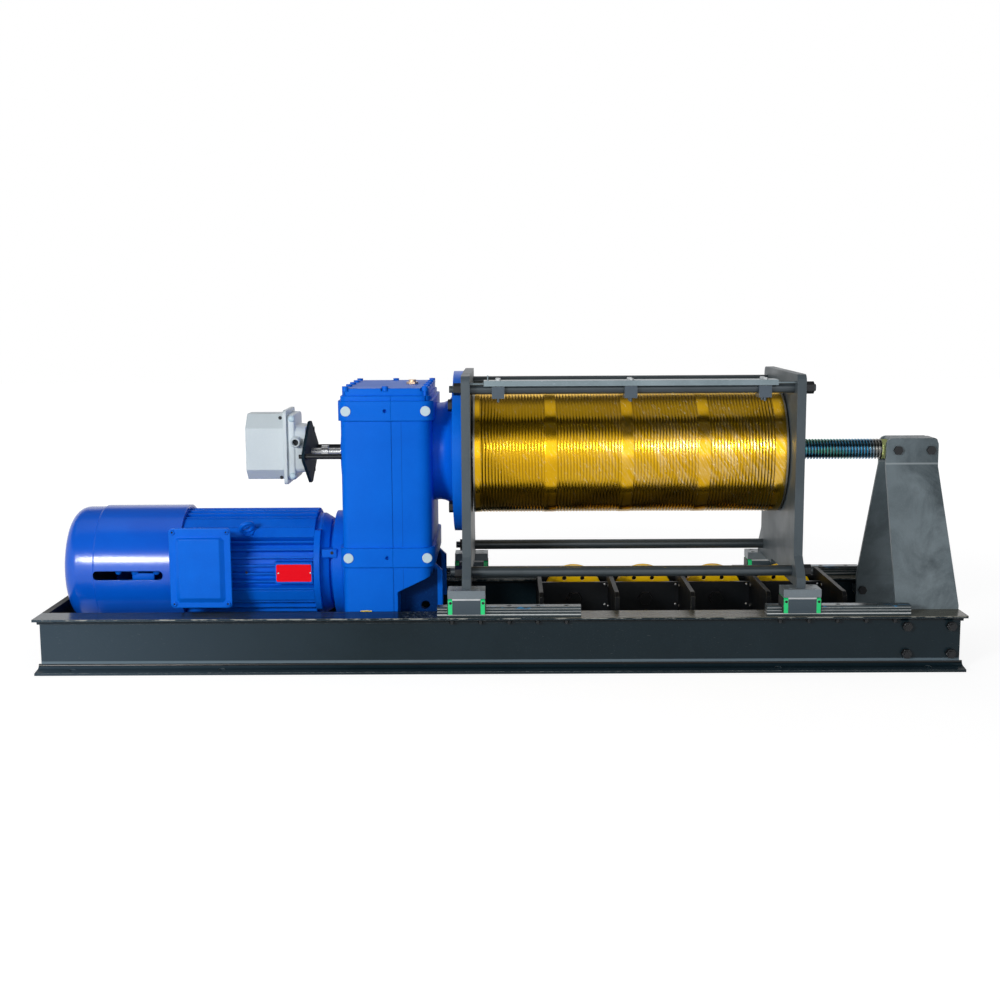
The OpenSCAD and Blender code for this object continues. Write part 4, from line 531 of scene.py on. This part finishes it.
# One entry per finish: two base colours, roughness range, metal, gloss, edge radius and wear, grain, skin
finishes = {
    "bluePaint": {"base": rgb(6, 108, 228), "second": rgb(2, 98, 214), "rough": (0.3, 0.36), "gloss": 0.1,
                  "edge": 0.0025, "cast": (420.0, 0.0003), "specks": 0.05},
    "blueCast": {"base": rgb(5, 104, 224), "second": rgb(2, 92, 208), "rough": (0.34, 0.44), "gloss": 0.08,
                 "edge": 0.005, "cast": (300.0, 0.0007), "specks": 0.08},
    "caseBlue": {"base": rgb(4, 108, 228), "second": rgb(2, 100, 218), "rough": (0.4, 0.48), "gloss": 0.06,
                 "edge": 0.005, "cast": (380.0, 0.0004), "specks": 0.05, "mark": seamMark},
    "cowlBlue": {"base": rgb(4, 96, 218), "second": rgb(2, 86, 206), "rough": (0.17, 0.21), "gloss": 0.5,
                 "edge": 0.003, "cast": (300.0, 0.0002), "specks": 0.04},
    "beamPaint": {"base": rgb(24, 41, 49), "second": rgb(18, 34, 41), "rough": (0.16, 0.26), "gloss": 0.17,
                  "edge": 0.0016, "wear": 0.75, "wearColor": rgb(168, 172, 172), "cast": (180.0, 0.00025),
                  "specks": 0.04, "scratch": 0.14, "chips": 0.2, "mark": flangeMark},
    "ribPaint": {"base": rgb(12, 15, 18), "second": rgb(9, 11, 14), "rough": (0.4, 0.55), "gloss": 0.15,
                 "edge": 0.0016, "wear": 0.8, "wearColor": rgb(138, 136, 124), "cast": (160.0, 0.0004),
                 "specks": 0.06, "scratch": 0.1, "chips": 0.2},
    "darkPaint": {"base": rgb(20, 24, 29), "second": rgb(14, 18, 22), "rough": (0.34, 0.5), "gloss": 0.25,
                  "edge": 0.0014, "wear": 0.3, "wearColor": rgb(120, 124, 126), "cast": (160.0, 0.0004),
                  "specks": 0.08, "scratch": 0.08, "chips": 0.15},
    "platePaint": {"base": rgb(84, 94, 100), "second": rgb(74, 84, 90), "rough": (0.36, 0.5), "gloss": 0.2,
                   "edge": 0.0018, "wear": 0.3, "wearColor": rgb(150, 154, 156), "cast": (420.0, 0.0005),
                   "specks": 0.06, "scratch": 0.06},
    "bracketPaint": {"base": rgb(120, 133, 139), "second": rgb(106, 119, 125), "rough": (0.34, 0.5),
                     "gloss": 0.25, "edge": 0.0014, "wear": 0.35, "wearColor": rgb(165, 170, 172),
                     "cast": (90.0, 0.0003), "specks": 0.05, "scratch": 0.1, "mark": stainMark},
    "rodPaint": {"base": rgb(60, 70, 76), "second": rgb(50, 59, 64), "rough": (0.3, 0.4), "metal": 0.2,
                 "edge": 0.001, "wear": 0.3, "wearColor": rgb(140, 142, 142), "grain": (6.0, 700.0, 700.0),
                 "specks": 0.06},
    "railSteel": {"base": rgb(54, 66, 70), "second": rgb(44, 56, 61), "rough": (0.2, 0.34), "metal": 0.6,
                  "edge": 0.0006, "wear": 0.3, "wearColor": (0.9, 0.9, 0.9), "grain": (3.0, 1200.0, 1200.0),
                  "specks": 0.06, "mark": railMark},
    "blockSteel": {"base": rgb(48, 64, 74), "second": rgb(40, 56, 66), "rough": (0.32, 0.46), "metal": 0.2,
                   "edge": 0.001, "wear": 0.4, "wearColor": rgb(190, 194, 196), "grain": (20.0, 300.0, 900.0),
                   "specks": 0.08, "mark": blockMark},
    "riserSteel": {"base": rgb(116, 127, 134), "second": rgb(104, 115, 122), "rough": (0.34, 0.46),
                   "metal": 0.2, "edge": 0.001, "wear": 0.4, "wearColor": rgb(180, 184, 186),
                   "grain": (20.0, 300.0, 900.0), "specks": 0.08},
    "bareSteel": {"base": rgb(190, 192, 194), "second": rgb(168, 170, 172), "rough": (0.22, 0.34),
                  "metal": 1.0, "edge": 0.0008, "wear": 0.3, "wearColor": (0.8, 0.8, 0.8),
                  "grain": (700.0, 60.0, 60.0), "specks": 0.06},
    "screwSteel": {"base": rgb(176, 176, 170), "second": rgb(150, 150, 146), "rough": (0.2, 0.3),
                   "metal": 1.0, "edge": 0.0006, "grain": (900.0, 60.0, 60.0), "specks": 0.06,
                   "mark": screwMark},
    "blackBolt": {"base": rgb(36, 38, 41), "second": rgb(26, 28, 30), "rough": (0.28, 0.42), "metal": 0.6,
                  "edge": 0.0008, "wear": 0.6, "wearColor": rgb(150, 152, 154), "specks": 0.1,
                  "cast": (500.0, 0.0002)},
    "slatePaint": {"base": rgb(22, 40, 50), "second": rgb(16, 32, 42), "rough": (0.6, 0.7), "gloss": 0.05,
                   "edge": 0.001, "wear": 0.4, "wearColor": rgb(150, 156, 160), "specks": 0.06,
                   "cast": (400.0, 0.0002)},
    "clampPaint": {"base": rgb(62, 78, 92), "second": rgb(54, 70, 82), "rough": (0.3, 0.42), "metal": 0.05,
                   "edge": 0.0012, "wear": 0.7, "wearColor": rgb(190, 200, 208), "specks": 0.08,
                   "cast": (400.0, 0.0002), "mark": clampMark},
    "yellowZinc": {"base": rgb(226, 226, 130), "second": rgb(196, 214, 150), "rough": (0.22, 0.34),
                   "metal": 0.9, "edge": 0.0008, "wear": 0.3, "wearColor": (0.9, 0.88, 0.7),
                   "cast": (300.0, 0.0002), "specks": 0.1},
    "drumGold": {"base": (0.68, 0.40, 0.011), "second": (0.62, 0.34, 0.009), "rough": (0.15, 0.22),
                 "metal": 1.0, "edge": 0.0003, "grain": (900.0, 30.0, 30.0), "grainShade": 0.12,
                 "specks": 0.04, "mark": filmMark, "film": 0.0005},
    "drumRing": {"base": rgb(176, 172, 158), "second": rgb(150, 146, 130), "rough": (0.24, 0.36),
                 "metal": 1.0, "edge": 0.0008, "grain": (900.0, 60.0, 60.0), "specks": 0.08},
    "sheaveYellow": {"base": (1.0, 0.66, 0.0), "second": (1.0, 0.6, 0.0), "rough": (0.3, 0.42), "gloss": 0.3,
                     "edge": 0.001, "wear": 0.1, "wearColor": (0.5, 0.4, 0.1), "specks": 0.04,
                     "cast": (300.0, 0.0003)},
    "greenPlastic": {"base": rgb(24, 226, 132), "second": rgb(18, 208, 118), "rough": (0.3, 0.4),
                     "edge": 0.001, "cast": (700.0, 0.0002), "specks": 0.06},
    "blackRubber": {"base": rgb(24, 24, 24), "second": rgb(34, 34, 34), "rough": (0.55, 0.7), "edge": 0.0008,
                    "cast": (600.0, 0.0003), "specks": 0.06},
    "capPlastic": {"base": rgb(196, 218, 228), "second": rgb(182, 206, 218), "rough": (0.4, 0.5),
                   "edge": 0.001, "cast": (300.0, 0.0003), "specks": 0.06},
    "copper": {"base": (0.45, 0.17, 0.06), "second": (0.3, 0.1, 0.04), "rough": (0.4, 0.6), "metal": 0.5,
               "edge": 0.001, "grain": (900.0, 40.0, 40.0), "specks": 0.2},
    "redPlate": {"base": rgb(252, 4, 30), "second": rgb(242, 2, 26), "rough": (0.28, 0.36), "metal": 0.0,
                 "gloss": 0.1, "edge": 0.0006, "wear": 0.4, "wearColor": (0.8, 0.8, 0.8),
                 "grain": (5.0, 900.0, 900.0), "grainShade": 0.1, "specks": 0.04},
    "switchGrey": {"base": rgb(208, 219, 224), "second": rgb(198, 210, 216), "rough": (0.36, 0.46),
                   "gloss": 0.4, "edge": 0.004, "cast": (420.0, 0.0004), "specks": 0.05},
    "yellowLabel": {"base": rgb(255, 222, 10), "second": rgb(246, 208, 6), "rough": (0.34, 0.42),
                    "edge": 0.0004, "cast": (500.0, 0.0001), "specks": 0.05},
    "aluminium": {"base": rgb(120, 134, 140), "second": rgb(98, 112, 118), "rough": (0.28, 0.42),
                  "metal": 0.7, "edge": 0.0008, "wear": 0.5, "wearColor": (0.9, 0.9, 0.92),
                  "grain": (3.0, 900.0, 900.0), "specks": 0.1, "scratch": 0.3},
    "bronze": {"base": rgb(188, 142, 78), "second": rgb(170, 130, 84), "rough": (0.25, 0.4), "metal": 1.0,
               "edge": 0.001, "wear": 0.2, "wearColor": (0.8, 0.5, 0.2), "grain": (600.0, 60.0, 60.0),
               "specks": 0.1},
    "brassFitting": {"base": rgb(236, 206, 170), "second": rgb(226, 190, 150), "rough": (0.25, 0.4),
                     "metal": 0.8, "edge": 0.001, "grain": (600.0, 60.0, 60.0), "specks": 0.1},
    "blackPlastic": {"base": (0.02, 0.02, 0.022), "second": (0.03, 0.03, 0.03), "rough": (0.4, 0.5),
                     "edge": 0.001, "cast": (500.0, 0.0003), "specks": 0.1},
    # Near-black for the inside of holes, wells and screw sockets: painted shade
    "paintedHoleShade": {"base": (0.004, 0.005, 0.008), "second": (0.008, 0.01, 0.014), "rough": (0.7, 0.9),
                  "edge": 0.0004, "cast": (300.0, 0.0002), "specks": 0.03},
}


def makeFinish(name, f):
    # Blotched and specked base colour, marks, worn bright edges, scratches, grain, and a skin in the bump
    m = bpy.data.materials.new(name)
    m.use_nodes = True
    t = m.node_tree
    p = t.nodes["Principled BSDF"]
    cloud = useGroup(t, "cloud", Scale=6.0)
    base = mixColor(t, cloud.outputs["Blotch"], f["base"], f["second"])
    if "mark" in f:
        base = f["mark"](t, base)
    base = mixColor(t, mathNode(t, "MULTIPLY", cloud.outputs["Speck"], f.get("specks", 0.1)), base,
                    tuple(min(1, c * 2.2 + 0.02) for c in f["base"]))
    rough = rangeNode(t, cloud.outputs["Blotch"], 0, 1, *f["rough"])
    edge = useGroup(t, "edge", Radius=f["edge"], Amount=f.get("wear", 0.0))
    if f.get("wear"):
        base = mixColor(t, edge.outputs["Mask"], base, f["wearColor"])
    if f.get("scratch"):
        marks = useGroup(t, "scratch", Amount=f["scratch"], Chips=f.get("chips", 0.0))
        base = mixColor(t, marks.outputs["Mask"], base, f["wearColor"])
    height = None
    if "grain" in f:
        lines = useGroup(t, "grain", Stretch=f["grain"])
        rough = mathNode(t, "ADD", rough, rangeNode(t, lines.outputs["Line"], 0.3, 0.7, -0.05, 0.06))
        shade = rangeNode(t, lines.outputs["Line"], 0.35, 0.7, 0.0, f.get("grainShade", 0.3))
        base = mixColor(t, shade, base, tuple(c * 0.7 for c in f["base"]))
        height, depth = lines.outputs["Line"], 0.00012
    if "cast" in f:
        height, depth = noiseNode(t, objectPlace(t), f["cast"][0], 3, 0.6), f["cast"][1]
    if "film" in f:
        height, depth = useGroup(t, "film", Stretch=filmStretch).outputs["Height"], f["film"]
    bump = t.nodes.new("ShaderNodeBump")
    bump.inputs["Strength"].default_value = 0.6
    bump.inputs["Distance"].default_value = depth
    t.links.new(height, bump.inputs["Height"])
    t.links.new(edge.outputs["Normal"], bump.inputs["Normal"])
    t.links.new(bump.outputs[0], p.inputs["Normal"])
    t.links.new(base, p.inputs["Base Color"])
    t.links.new(rough, p.inputs["Roughness"])
    p.inputs["Metallic"].default_value = f.get("metal", 0.0)
    p.inputs["Specular IOR Level"].default_value = f.get("gloss", 0.5)
    return m


materials = {k: makeFinish(k, f) for k, f in finishes.items()}
print("materials done:", len(materials))

# CAD nodes by finish
finishOf = {
    "cowlBlue": ["fan_cowl"],
    "bluePaint": ["terminal_box", "terminal_cover", "eye_bolt", "output_flange", "cover_bolts"],
    "blueCast": ["motor_adapter", "motor_frame", "motor_end_shields"],
    "caseBlue": ["gear_case_motor_side", "gear_case_drum_side", "gear_top_cover"],
    "beamPaint": ["front_beam", "rear_beam"],
    "ribPaint": ["cross_plates"],
    "darkPaint": ["cheek_plates"],
    "platePaint": ["left_side_plate", "right_side_plate"],
    "bracketPaint": ["bracket_sheets", "bracket_head_block", "foot_packers"],
    "rodPaint": ["tie_rods"],
    "railSteel": ["guide_rails"],
    "blockSteel": ["guide_blocks"],
    "riserSteel": ["riser_blocks"],
    "bareSteel": ["riser_bolts", "drum_bearing", "gear_bearings", "output_shaft", "switch_shaft",
                  "intermediate_gear", "motor_rotor"],
    "screwSteel": ["lead_screw"],
    "drumRing": ["drum_ends"],
    "blackBolt": ["rail_bolts", "bracket_bolts", "tie_rod_nuts", "flange_bolts", "brake_magnet",
                  "sheave_axles", "switch_rods"],
    "clampPaint": ["bar_clamps"],
    "slatePaint": ["switch_plate"],
    "yellowZinc": ["screw_lock_nut"],
    "drumGold": ["drum_shell"],
    "sheaveYellow": ["sheave_1", "sheave_2", "sheave_3", "sheave_4"],
    "greenPlastic": ["guide_end_caps"],
    "blackRubber": ["guide_seals"],
    "capPlastic": ["plug_caps"],
    "copper": ["stator_core"],
    "redPlate": ["nameplate"],
    "switchGrey": ["switch_body", "switch_hood"],
    "aluminium": ["cover_bar"],
    "bronze": ["screw_nut"],
    "brassFitting": ["breather"],
    "blackPlastic": ["cooling_fan"],
}


def makeSmoother():
    # Joins loose corners, then shades smooth wherever two faces meet at less than the limit
    g = bpy.data.node_groups.new("smoothByAngle", "GeometryNodeTree")
    g.is_modifier = True
    g.interface.new_socket(name="Geometry", in_out="INPUT", socket_type="NodeSocketGeometry")
    g.interface.new_socket(name="Geometry", in_out="OUTPUT", socket_type="NodeSocketGeometry")
    i, o = g.nodes.new("NodeGroupInput"), g.nodes.new("NodeGroupOutput")
    merge = g.nodes.new("GeometryNodeMergeByDistance")
    merge.inputs["Distance"].default_value = 2e-5
    faces = g.nodes.new("GeometryNodeSetShadeSmooth")
    faces.domain = "FACE"
    edges = g.nodes.new("GeometryNodeSetShadeSmooth")
    edges.domain = "EDGE"
    angle = g.nodes.new("GeometryNodeInputMeshEdgeAngle")
    less = g.nodes.new("FunctionNodeCompare")
    less.operation = "LESS_THAN"
    less.inputs["B"].default_value = math.radians(28)
    g.links.new(i.outputs[0], merge.inputs["Geometry"])
    g.links.new(merge.outputs[0], faces.inputs["Geometry"])
    g.links.new(faces.outputs[0], edges.inputs["Geometry"])
    g.links.new(angle.outputs["Unsigned Angle"], less.inputs["A"])
    g.links.new(less.outputs["Result"], edges.inputs["Shade Smooth"])
    g.links.new(edges.outputs[0], o.inputs[0])
    return g


smoother = makeSmoother()


def dress(o, finish):
    o.data.materials.clear()
    o.data.materials.append(materials[finish])


for finish, names in finishOf.items():
    for n in names:
        dress(nodes[n], finish)
        nodes[n].modifiers.new("smooth", "NODES").node_group = smoother
print("CAD nodes dressed")


def gridFaces(rows, cols, wrap):
    # Quads between the points of a grid that is stored row by row; wrap joins its last column to the first
    i, j = np.meshgrid(np.arange(rows - 1), np.arange(cols if wrap else cols - 1), indexing="ij")
    k = (j + 1) % cols
    return np.stack((i * cols + j, i * cols + k, (i + 1) * cols + k, (i + 1) * cols + j), -1).reshape(-1, 4)


def turned(profile, place, axis, count=24):
    # Surface of revolution: each (along, radius) of the profile goes round the axis at the place
    w = Vector(axis).normalized()
    u = w.orthogonal().normalized()
    v = w.cross(u)
    p = np.array(profile, float)
    a = np.linspace(0, 2 * math.pi, count, endpoint=False)
    ring = np.cos(a)[:, None] * np.array(u) + np.sin(a)[:, None] * np.array(v)
    pts = np.array(place) + p[:, :1, None].reshape(-1, 1, 1) * np.array(w) + p[:, 1].reshape(-1, 1, 1) * ring
    return pts.reshape(-1, 3), gridFaces(len(p), count, True)


def makePiece(name, shapes, finish, body, replaces=(), bevel=0.0):
    # One mesh from a list of (points, quads), riding on its body
    verts, faces, start = [], [], 0
    for v, f in shapes:
        verts.append(v)
        faces.append(f + start)
        start += len(v)
    me = bpy.data.meshes.new(name)
    me.from_pydata(np.concatenate(verts).tolist(), [], np.concatenate(faces).tolist())
    me.update()
    o = bpy.data.objects.new(name, me)
    bpy.context.scene.collection.objects.link(o)
    dress(o, finish)
    if bevel:
        b = o.modifiers.new("round", "BEVEL")
        b.width = bevel
        b.segments = 2
        b.limit_method = "ANGLE"
        b.angle_limit = math.radians(20)
    o.modifiers.new("smooth", "NODES").node_group = smoother
    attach(o, body)
    if replaces:
        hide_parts(*replaces)
    return o


def woundZone(x0, d):
    # Row i at angle a lies at x0 + pitch * (i / perPitch - 1 + a / 2 pi), held inside the zone: rows follow
    # the groove. Its radius is the drum's less a circular groove, which fades out over half a pitch at both
    # ends of the zone
    length = d["pitch"] * d["turns"]
    i = np.arange(d["perPitch"] * (d["turns"] + 1) + 1)[:, None]
    a = np.linspace(0, 2 * math.pi, d["around"] + 1)[None, :]
    along = d["pitch"] * (i / d["perPitch"] - 1 + a / (2 * math.pi))
    held = np.clip(along, 0, length)
    off = d["pitch"] * ((i / d["perPitch"]) % 1 - 0.5)
    cut = np.sqrt(np.maximum(d["grooveRadius"] ** 2 - off ** 2, 0)) - (d["grooveRadius"] - d["grooveDepth"])
    fade = np.clip(np.minimum(held, length - held) / (0.5 * d["pitch"]), 0, 1)
    r = d["radius"] - np.maximum(cut, 0) * fade
    pts = np.stack((x0 + held, -r * np.sin(a), d["axis"] + r * np.cos(a)), -1)
    return pts.reshape(-1, 3), gridFaces(i.size, a.size, False)


def ringBetween(rows, d):
    # Plain turned rows (x, radius) with the zones' own columns
    p = np.array(rows)
    a = np.linspace(0, 2 * math.pi, d["around"] + 1)[None, :]
    pts = np.stack((np.repeat(p[:, :1], a.size, 1), -p[:, 1:] * np.sin(a), d["axis"] + p[:, 1:] * np.cos(a)),
                   -1)
    return pts.reshape(-1, 3), gridFaces(len(rows), a.size, False)


def makeDrum(d):
    length = d["pitch"] * d["turns"]
    zones = [d["firstZone"] + d["zoneStep"] * i for i in range(d["zoneCount"])]
    ends = [d["left"]] + [e for x in zones for e in (x, x + length)] + [d["right"]]
    shapes = [woundZone(x, d) for x in zones]
    shapes += [ringBetween([(a, d["radius"]), (b, d["radius"])], d) for a, b in zip(ends[::2], ends[1::2])]
    shapes.append(ringBetween([(d["right"], d["radius"]), (d["right"], d["bore"]), (d["left"], d["bore"]),
                               (d["left"], d["radius"])], d))
    makePiece("drumWound", shapes, "drumGold", "drum", ["drum_shell"])


makeDrum(drum)
print("drum wound")

def makeScrew(s):
    # Rows follow the helix as on the drum; the radius runs root, flank, crest, flank over one pitch
    share = np.array([0.0, 0.28, 0.42, 0.66, 0.80])
    height = np.array([0.0, 0.0, 1.0, 1.0, 0.0])
    turns = int((s["right"] - s["left"]) / s["pitch"]) + 2
    k = (np.arange(turns)[:, None] + share[None, :]).reshape(-1, 1)
    a = np.linspace(0, 2 * math.pi, s["around"] + 1)[None, :]
    x = np.clip(s["left"] + s["pitch"] * (k - 1 + a / (2 * math.pi)), s["left"], s["right"])
    r = s["root"] + (s["radius"] - s["root"]) * np.tile(height, turns)[:, None] + 0 * a
    thread = (np.stack((x, -r * np.sin(a), s["axis"] + r * np.cos(a)), -1).reshape(-1, 3),
              gridFaces(k.size, a.size, False))
    neck = turned([(s["right"] - 0.001, 0), (s["right"] - 0.001, s["neck"]),
                   (s["neckEnd"] - 0.002, s["neck"]), (s["neckEnd"], s["neck"] - 0.002), (s["neckEnd"], 0)],
                  (0, 0, s["axis"]), (1, 0, 0), s["around"])
    caps = [turned(ends, (0, 0, s["axis"]), (1, 0, 0), s["around"])
            for ends in ([(s["left"], 0), (s["left"], s["radius"])],
                         [(s["right"], s["radius"]), (s["right"], 0)])]
    makePiece("screwThread", [thread, neck] + caps, "screwSteel", "base", ["lead_screw"])


makeScrew(screw)
print("screw cut")

# Lid of the terminal box: rounded plate, eight-sided sloped panel, four screws
lid = {"centre": (-0.841, 0.290), "half": (0.087, 0.114), "corner": 0.012, "back": -0.236, "face": -0.243,
       "panelFace": -0.2555, "panelBase": (0.069, 0.0928), "panelDrop": 0.0052, "panelTop": (0.057, 0.084),
       "baseCut": 0.008, "topCut": 0.002, "screwIn": 0.0115}


def cornered(hx, hz, cut, bow, n=5):
    # Rectangle with n points at each corner: bow 1 puts them on a quarter circle, 0 on a straight cut
    s = np.linspace(0, 1, n)
    arc = np.stack((1 - np.cos(s * math.pi / 2), np.sin(s * math.pi / 2)), -1)
    straight = np.stack((s, s), -1)
    q = cut * (bow * np.stack((arc[:, 0], arc[:, 1]), -1) + (1 - bow) * straight)
    one = np.stack((hx - q[:, 0], hz - cut + q[:, 1]), -1)
    two = np.stack((-one[::-1, 0], one[::-1, 1]), -1)
    return np.concatenate((one, two, -one, -two))


def makeLid(d):
    # Outlines stacked towards the viewer, each with the same corner points
    (hx, hz), (bx, bz), (tx, tz) = d["half"], d["panelBase"], d["panelTop"]
    stack = [(d["back"], 0 * cornered(hx, hz, d["corner"], 1)), (d["back"], cornered(hx, hz, d["corner"], 1)),
             (d["face"] + 0.0015, cornered(hx, hz, d["corner"], 1)),
             (d["face"], cornered(hx - 0.0015, hz - 0.0015, d["corner"], 1)),
             (d["face"], cornered(hx - 0.004, hz - 0.004, d["corner"], 1)),
             (d["face"], cornered(bx + 0.002, bz + 0.002, d["baseCut"], 0) - (0, d["panelDrop"])),
             (d["face"], cornered(bx, bz, d["baseCut"], 0) - (0, d["panelDrop"])),
             (d["panelFace"], cornered(tx, tz, d["topCut"], 0)),
             (d["panelFace"], cornered(tx - 0.002, tz - 0.002, d["topCut"], 0)),
             (d["panelFace"], 0 * cornered(tx, tz, d["topCut"], 0))]
    pts = np.concatenate([np.stack((d["centre"][0] + o[:, 0], np.full(len(o), y), d["centre"][1] + o[:, 1]),
                                   -1) for y, o in stack])
    shapes = [(pts, gridFaces(len(stack), len(stack[0][1]), True))]
    makePiece("terminalLid", shapes, "bluePaint", "carriage", ["terminal_cover"], bevel=0.0012)
    head = [(0, 0), (0, 0.0068), (0.003, 0.0068), (0.0042, 0.0052), (0.0042, 0.003), (0.0016, 0.0024),
            (0.0016, 0)]
    wells = [turned(head, (d["centre"][0] + i * (hx - d["screwIn"]), d["face"],
                           d["centre"][1] + j * (hz - d["screwIn"])), (0, -1, 0), 16)
             for i in (-1, 1) for j in (-1, 1)]
    makePiece("lidScrews", wells, "bluePaint", "carriage")
    # Near-black rings around the screws: painted shade in their wells
    dark = [turned([(0.0010, 0), (0.0010, 0.0023), (0.0018, 0.0023), (0.0018, 0)],
                   (d["centre"][0] + i * (hx - d["screwIn"]), d["face"],
                    d["centre"][1] + j * (hz - d["screwIn"])), (0, -1, 0),
                   8) for i in (-1, 1) for j in (-1, 1)]
    makePiece("lidScrewWells", dark, "paintedHoleShade", "carriage")


makeLid(lid)
print("terminal lid done")

# Rear case of the limit switch: full outline by the hood, then a lower step up to the plate; gland in front
case = {"left": -0.613, "step": -0.591, "right": -0.561, "half": (0.075, 0.0955), "mid": 0.613, "cut": 0.014,
        "innerHalf": (0.073, 0.069), "innerMid": 0.605, "innerCut": 0.02, "gland": (-0.587, -0.072, 0.629)}


def makeSwitchCase(d):
    (hy, hz), (iy, iz) = d["half"], d["innerHalf"]
    stack = [(d["left"], 0, 0, d["cut"], d["mid"]), (d["left"], hy, hz, d["cut"], d["mid"]),
             (d["step"] - 0.003, hy, hz, d["cut"], d["mid"]),
             (d["step"], hy - 0.003, hz - 0.003, d["cut"], d["mid"]),
             (d["step"], iy - 0.001, iz + 0.002, d["innerCut"], d["innerMid"]),
             (d["step"] + 0.002, iy - 0.001, iz, d["innerCut"], d["innerMid"]),
             (d["right"], iy - 0.003, iz - 0.003, d["innerCut"], d["innerMid"]),
             (d["right"], 0, 0, d["innerCut"], d["innerMid"])]
    pts = []
    for x, y, z, cut, mid in stack:
        o = cornered(y, z, cut, 1) if y else np.zeros((20, 2))
        pts.append(np.stack((np.full(len(o), x), o[:, 0], mid + o[:, 1]), -1))
    gland = turned([(0, 0), (0, 0.0170), (0.009, 0.0170), (0.011, 0.0150), (0.022, 0.0145), (0.026, 0.0125),
                    (0.026, 0.0095), (0.006, 0.0095), (0.006, 0)],
                   d["gland"], (0, -1, 0), 24)
    makePiece("switchCase", [(np.concatenate(pts), gridFaces(len(stack), 20, True)), gland], "switchGrey",
              "carriage", ["switch_body"], bevel=0.001)


makeSwitchCase(case)
print("switch case done")


def boxShape(lo, hi):
    # Box between two corners, as its eight points and six quads
    pts = np.array([(x, y, z) for x in (lo[0], hi[0]) for y in (lo[1], hi[1]) for z in (lo[2], hi[2])])
    return pts, np.array([(0, 1, 3, 2), (4, 6, 7, 5), (0, 4, 5, 1), (2, 3, 7, 6), (0, 2, 6, 4), (1, 5, 7, 3)])


# Arm of the brake, seen through the cowl's slot
makePiece("brakeArm", [boxShape((-1.060, -0.148, 0.236), (-0.996, -0.138, 0.258))], "blueCast", "carriage",
          bevel=0.002)
makePiece("caseLabel", [boxShape((-0.3945, -0.2188, 0.1545), (-0.3627, -0.2178, 0.1612))], "yellowLabel",
          "carriage")

# Small parts: place, direction, head radius
dome = [(0, 0), (0, 1.0), (0.35, 1.0), (0.62, 0.8), (0.78, 0.45), (0.82, 0)]
flat = [(0, 0), (0, 1.0), (0.12, 1.0), (0.12, 0)]
small = {
    "plateRivets": {"finish": "bareSteel", "slot": "bare_steel", "body": "carriage", "profile": dome,
                    "at": [((-0.634, -0.1675, 0.260), (0, -1, 0), 0.0026),
                           ((-0.542, -0.1675, 0.260), (0, -1, 0), 0.0026)]},
    # The near-black discs below, on holes and screw sockets, are painted shade
    "frameHole": {"finish": "paintedHoleShade", "slot": "black_fasteners", "body": "carriage", "profile": flat,
                  "at": [((-0.726, -0.1641, 0.262), (0, -1, 0), 0.0036)]},
    "blockScrew": {"finish": "paintedHoleShade", "slot": "black_fasteners", "body": "carriage", "profile": flat,
                   "at": [((-0.481, -0.1521, 0.316), (0, -1, 0), 0.0048)]},
    "hoodScrews": {"finish": "capPlastic", "slot": "switch_grey", "body": "carriage", "profile": dome,
                   "at": [((-0.599, -0.0752, z), (0, -1, 0), 0.0092) for z in (0.696, 0.530)]},
    "glandHole": {"finish": "paintedHoleShade", "slot": "switch_grey", "body": "carriage", "profile": flat,
                  "at": [((-0.587, -0.0785, 0.629), (0, -1, 0), 0.0095)]},
    "hoodWells": {"finish": "paintedHoleShade", "slot": "switch_grey", "body": "carriage", "profile": flat,
                  "at": [((-0.630, -0.0853, z), (0, -1, 0), 0.0052) for z in (0.700, 0.527)]},
    "ribBolts": {"finish": "bareSteel", "slot": "black_fasteners", "body": "base", "profile": dome,
                 "at": [one for i in range(4) for z in (0.1655, 0.1035)
                        for one in (((0.3230 + 0.2175 * i, 0.1122, z), (0, -1, 0), 0.0042),
                                    ((0.3319 + 0.2175 * i, 0.0910, z), (-1, 0, 0), 0.0042))]},
    "capScrews": {"finish": "paintedHoleShade", "slot": "black_fasteners", "body": "carriage", "profile": flat,
                  "at": [((x, 0.3221 * side, 0.2035), (0, side, 0),
                          0.0038) for x in (-0.1345, -0.0445, 0.7935, 0.8835) for side in (-1, 1)]},
    "brakeLugs": {"finish": "blueCast", "slot": "blue_paint", "body": "carriage", "profile": dome,
                  "at": [((x, -0.142, 0.262), (0, -1, 0), r) for x,
                         r in ((-1.1006, 0.009), (-1.052, 0.011), (-0.990, 0.010))]},
    "plateHoles": {"finish": "paintedHoleShade", "slot": "black_fasteners", "body": "carriage", "profile": flat,
                   "at": [((-0.553, y, z), (1, 0, 0), 0.008) for y in (-0.06, 0.06) for z in (0.535, 0.655)]},
}


def makeSmall(name, s):
    shapes = [turned([(a * r, b * r) for a, b in s["profile"]], place, axis, 16) for place, axis,
              r in s["at"]]
    if shapes:
        makePiece(name, shapes, s["finish"], s["body"])


for name, s in small.items():
    makeSmall(name, s)
print("small parts done")
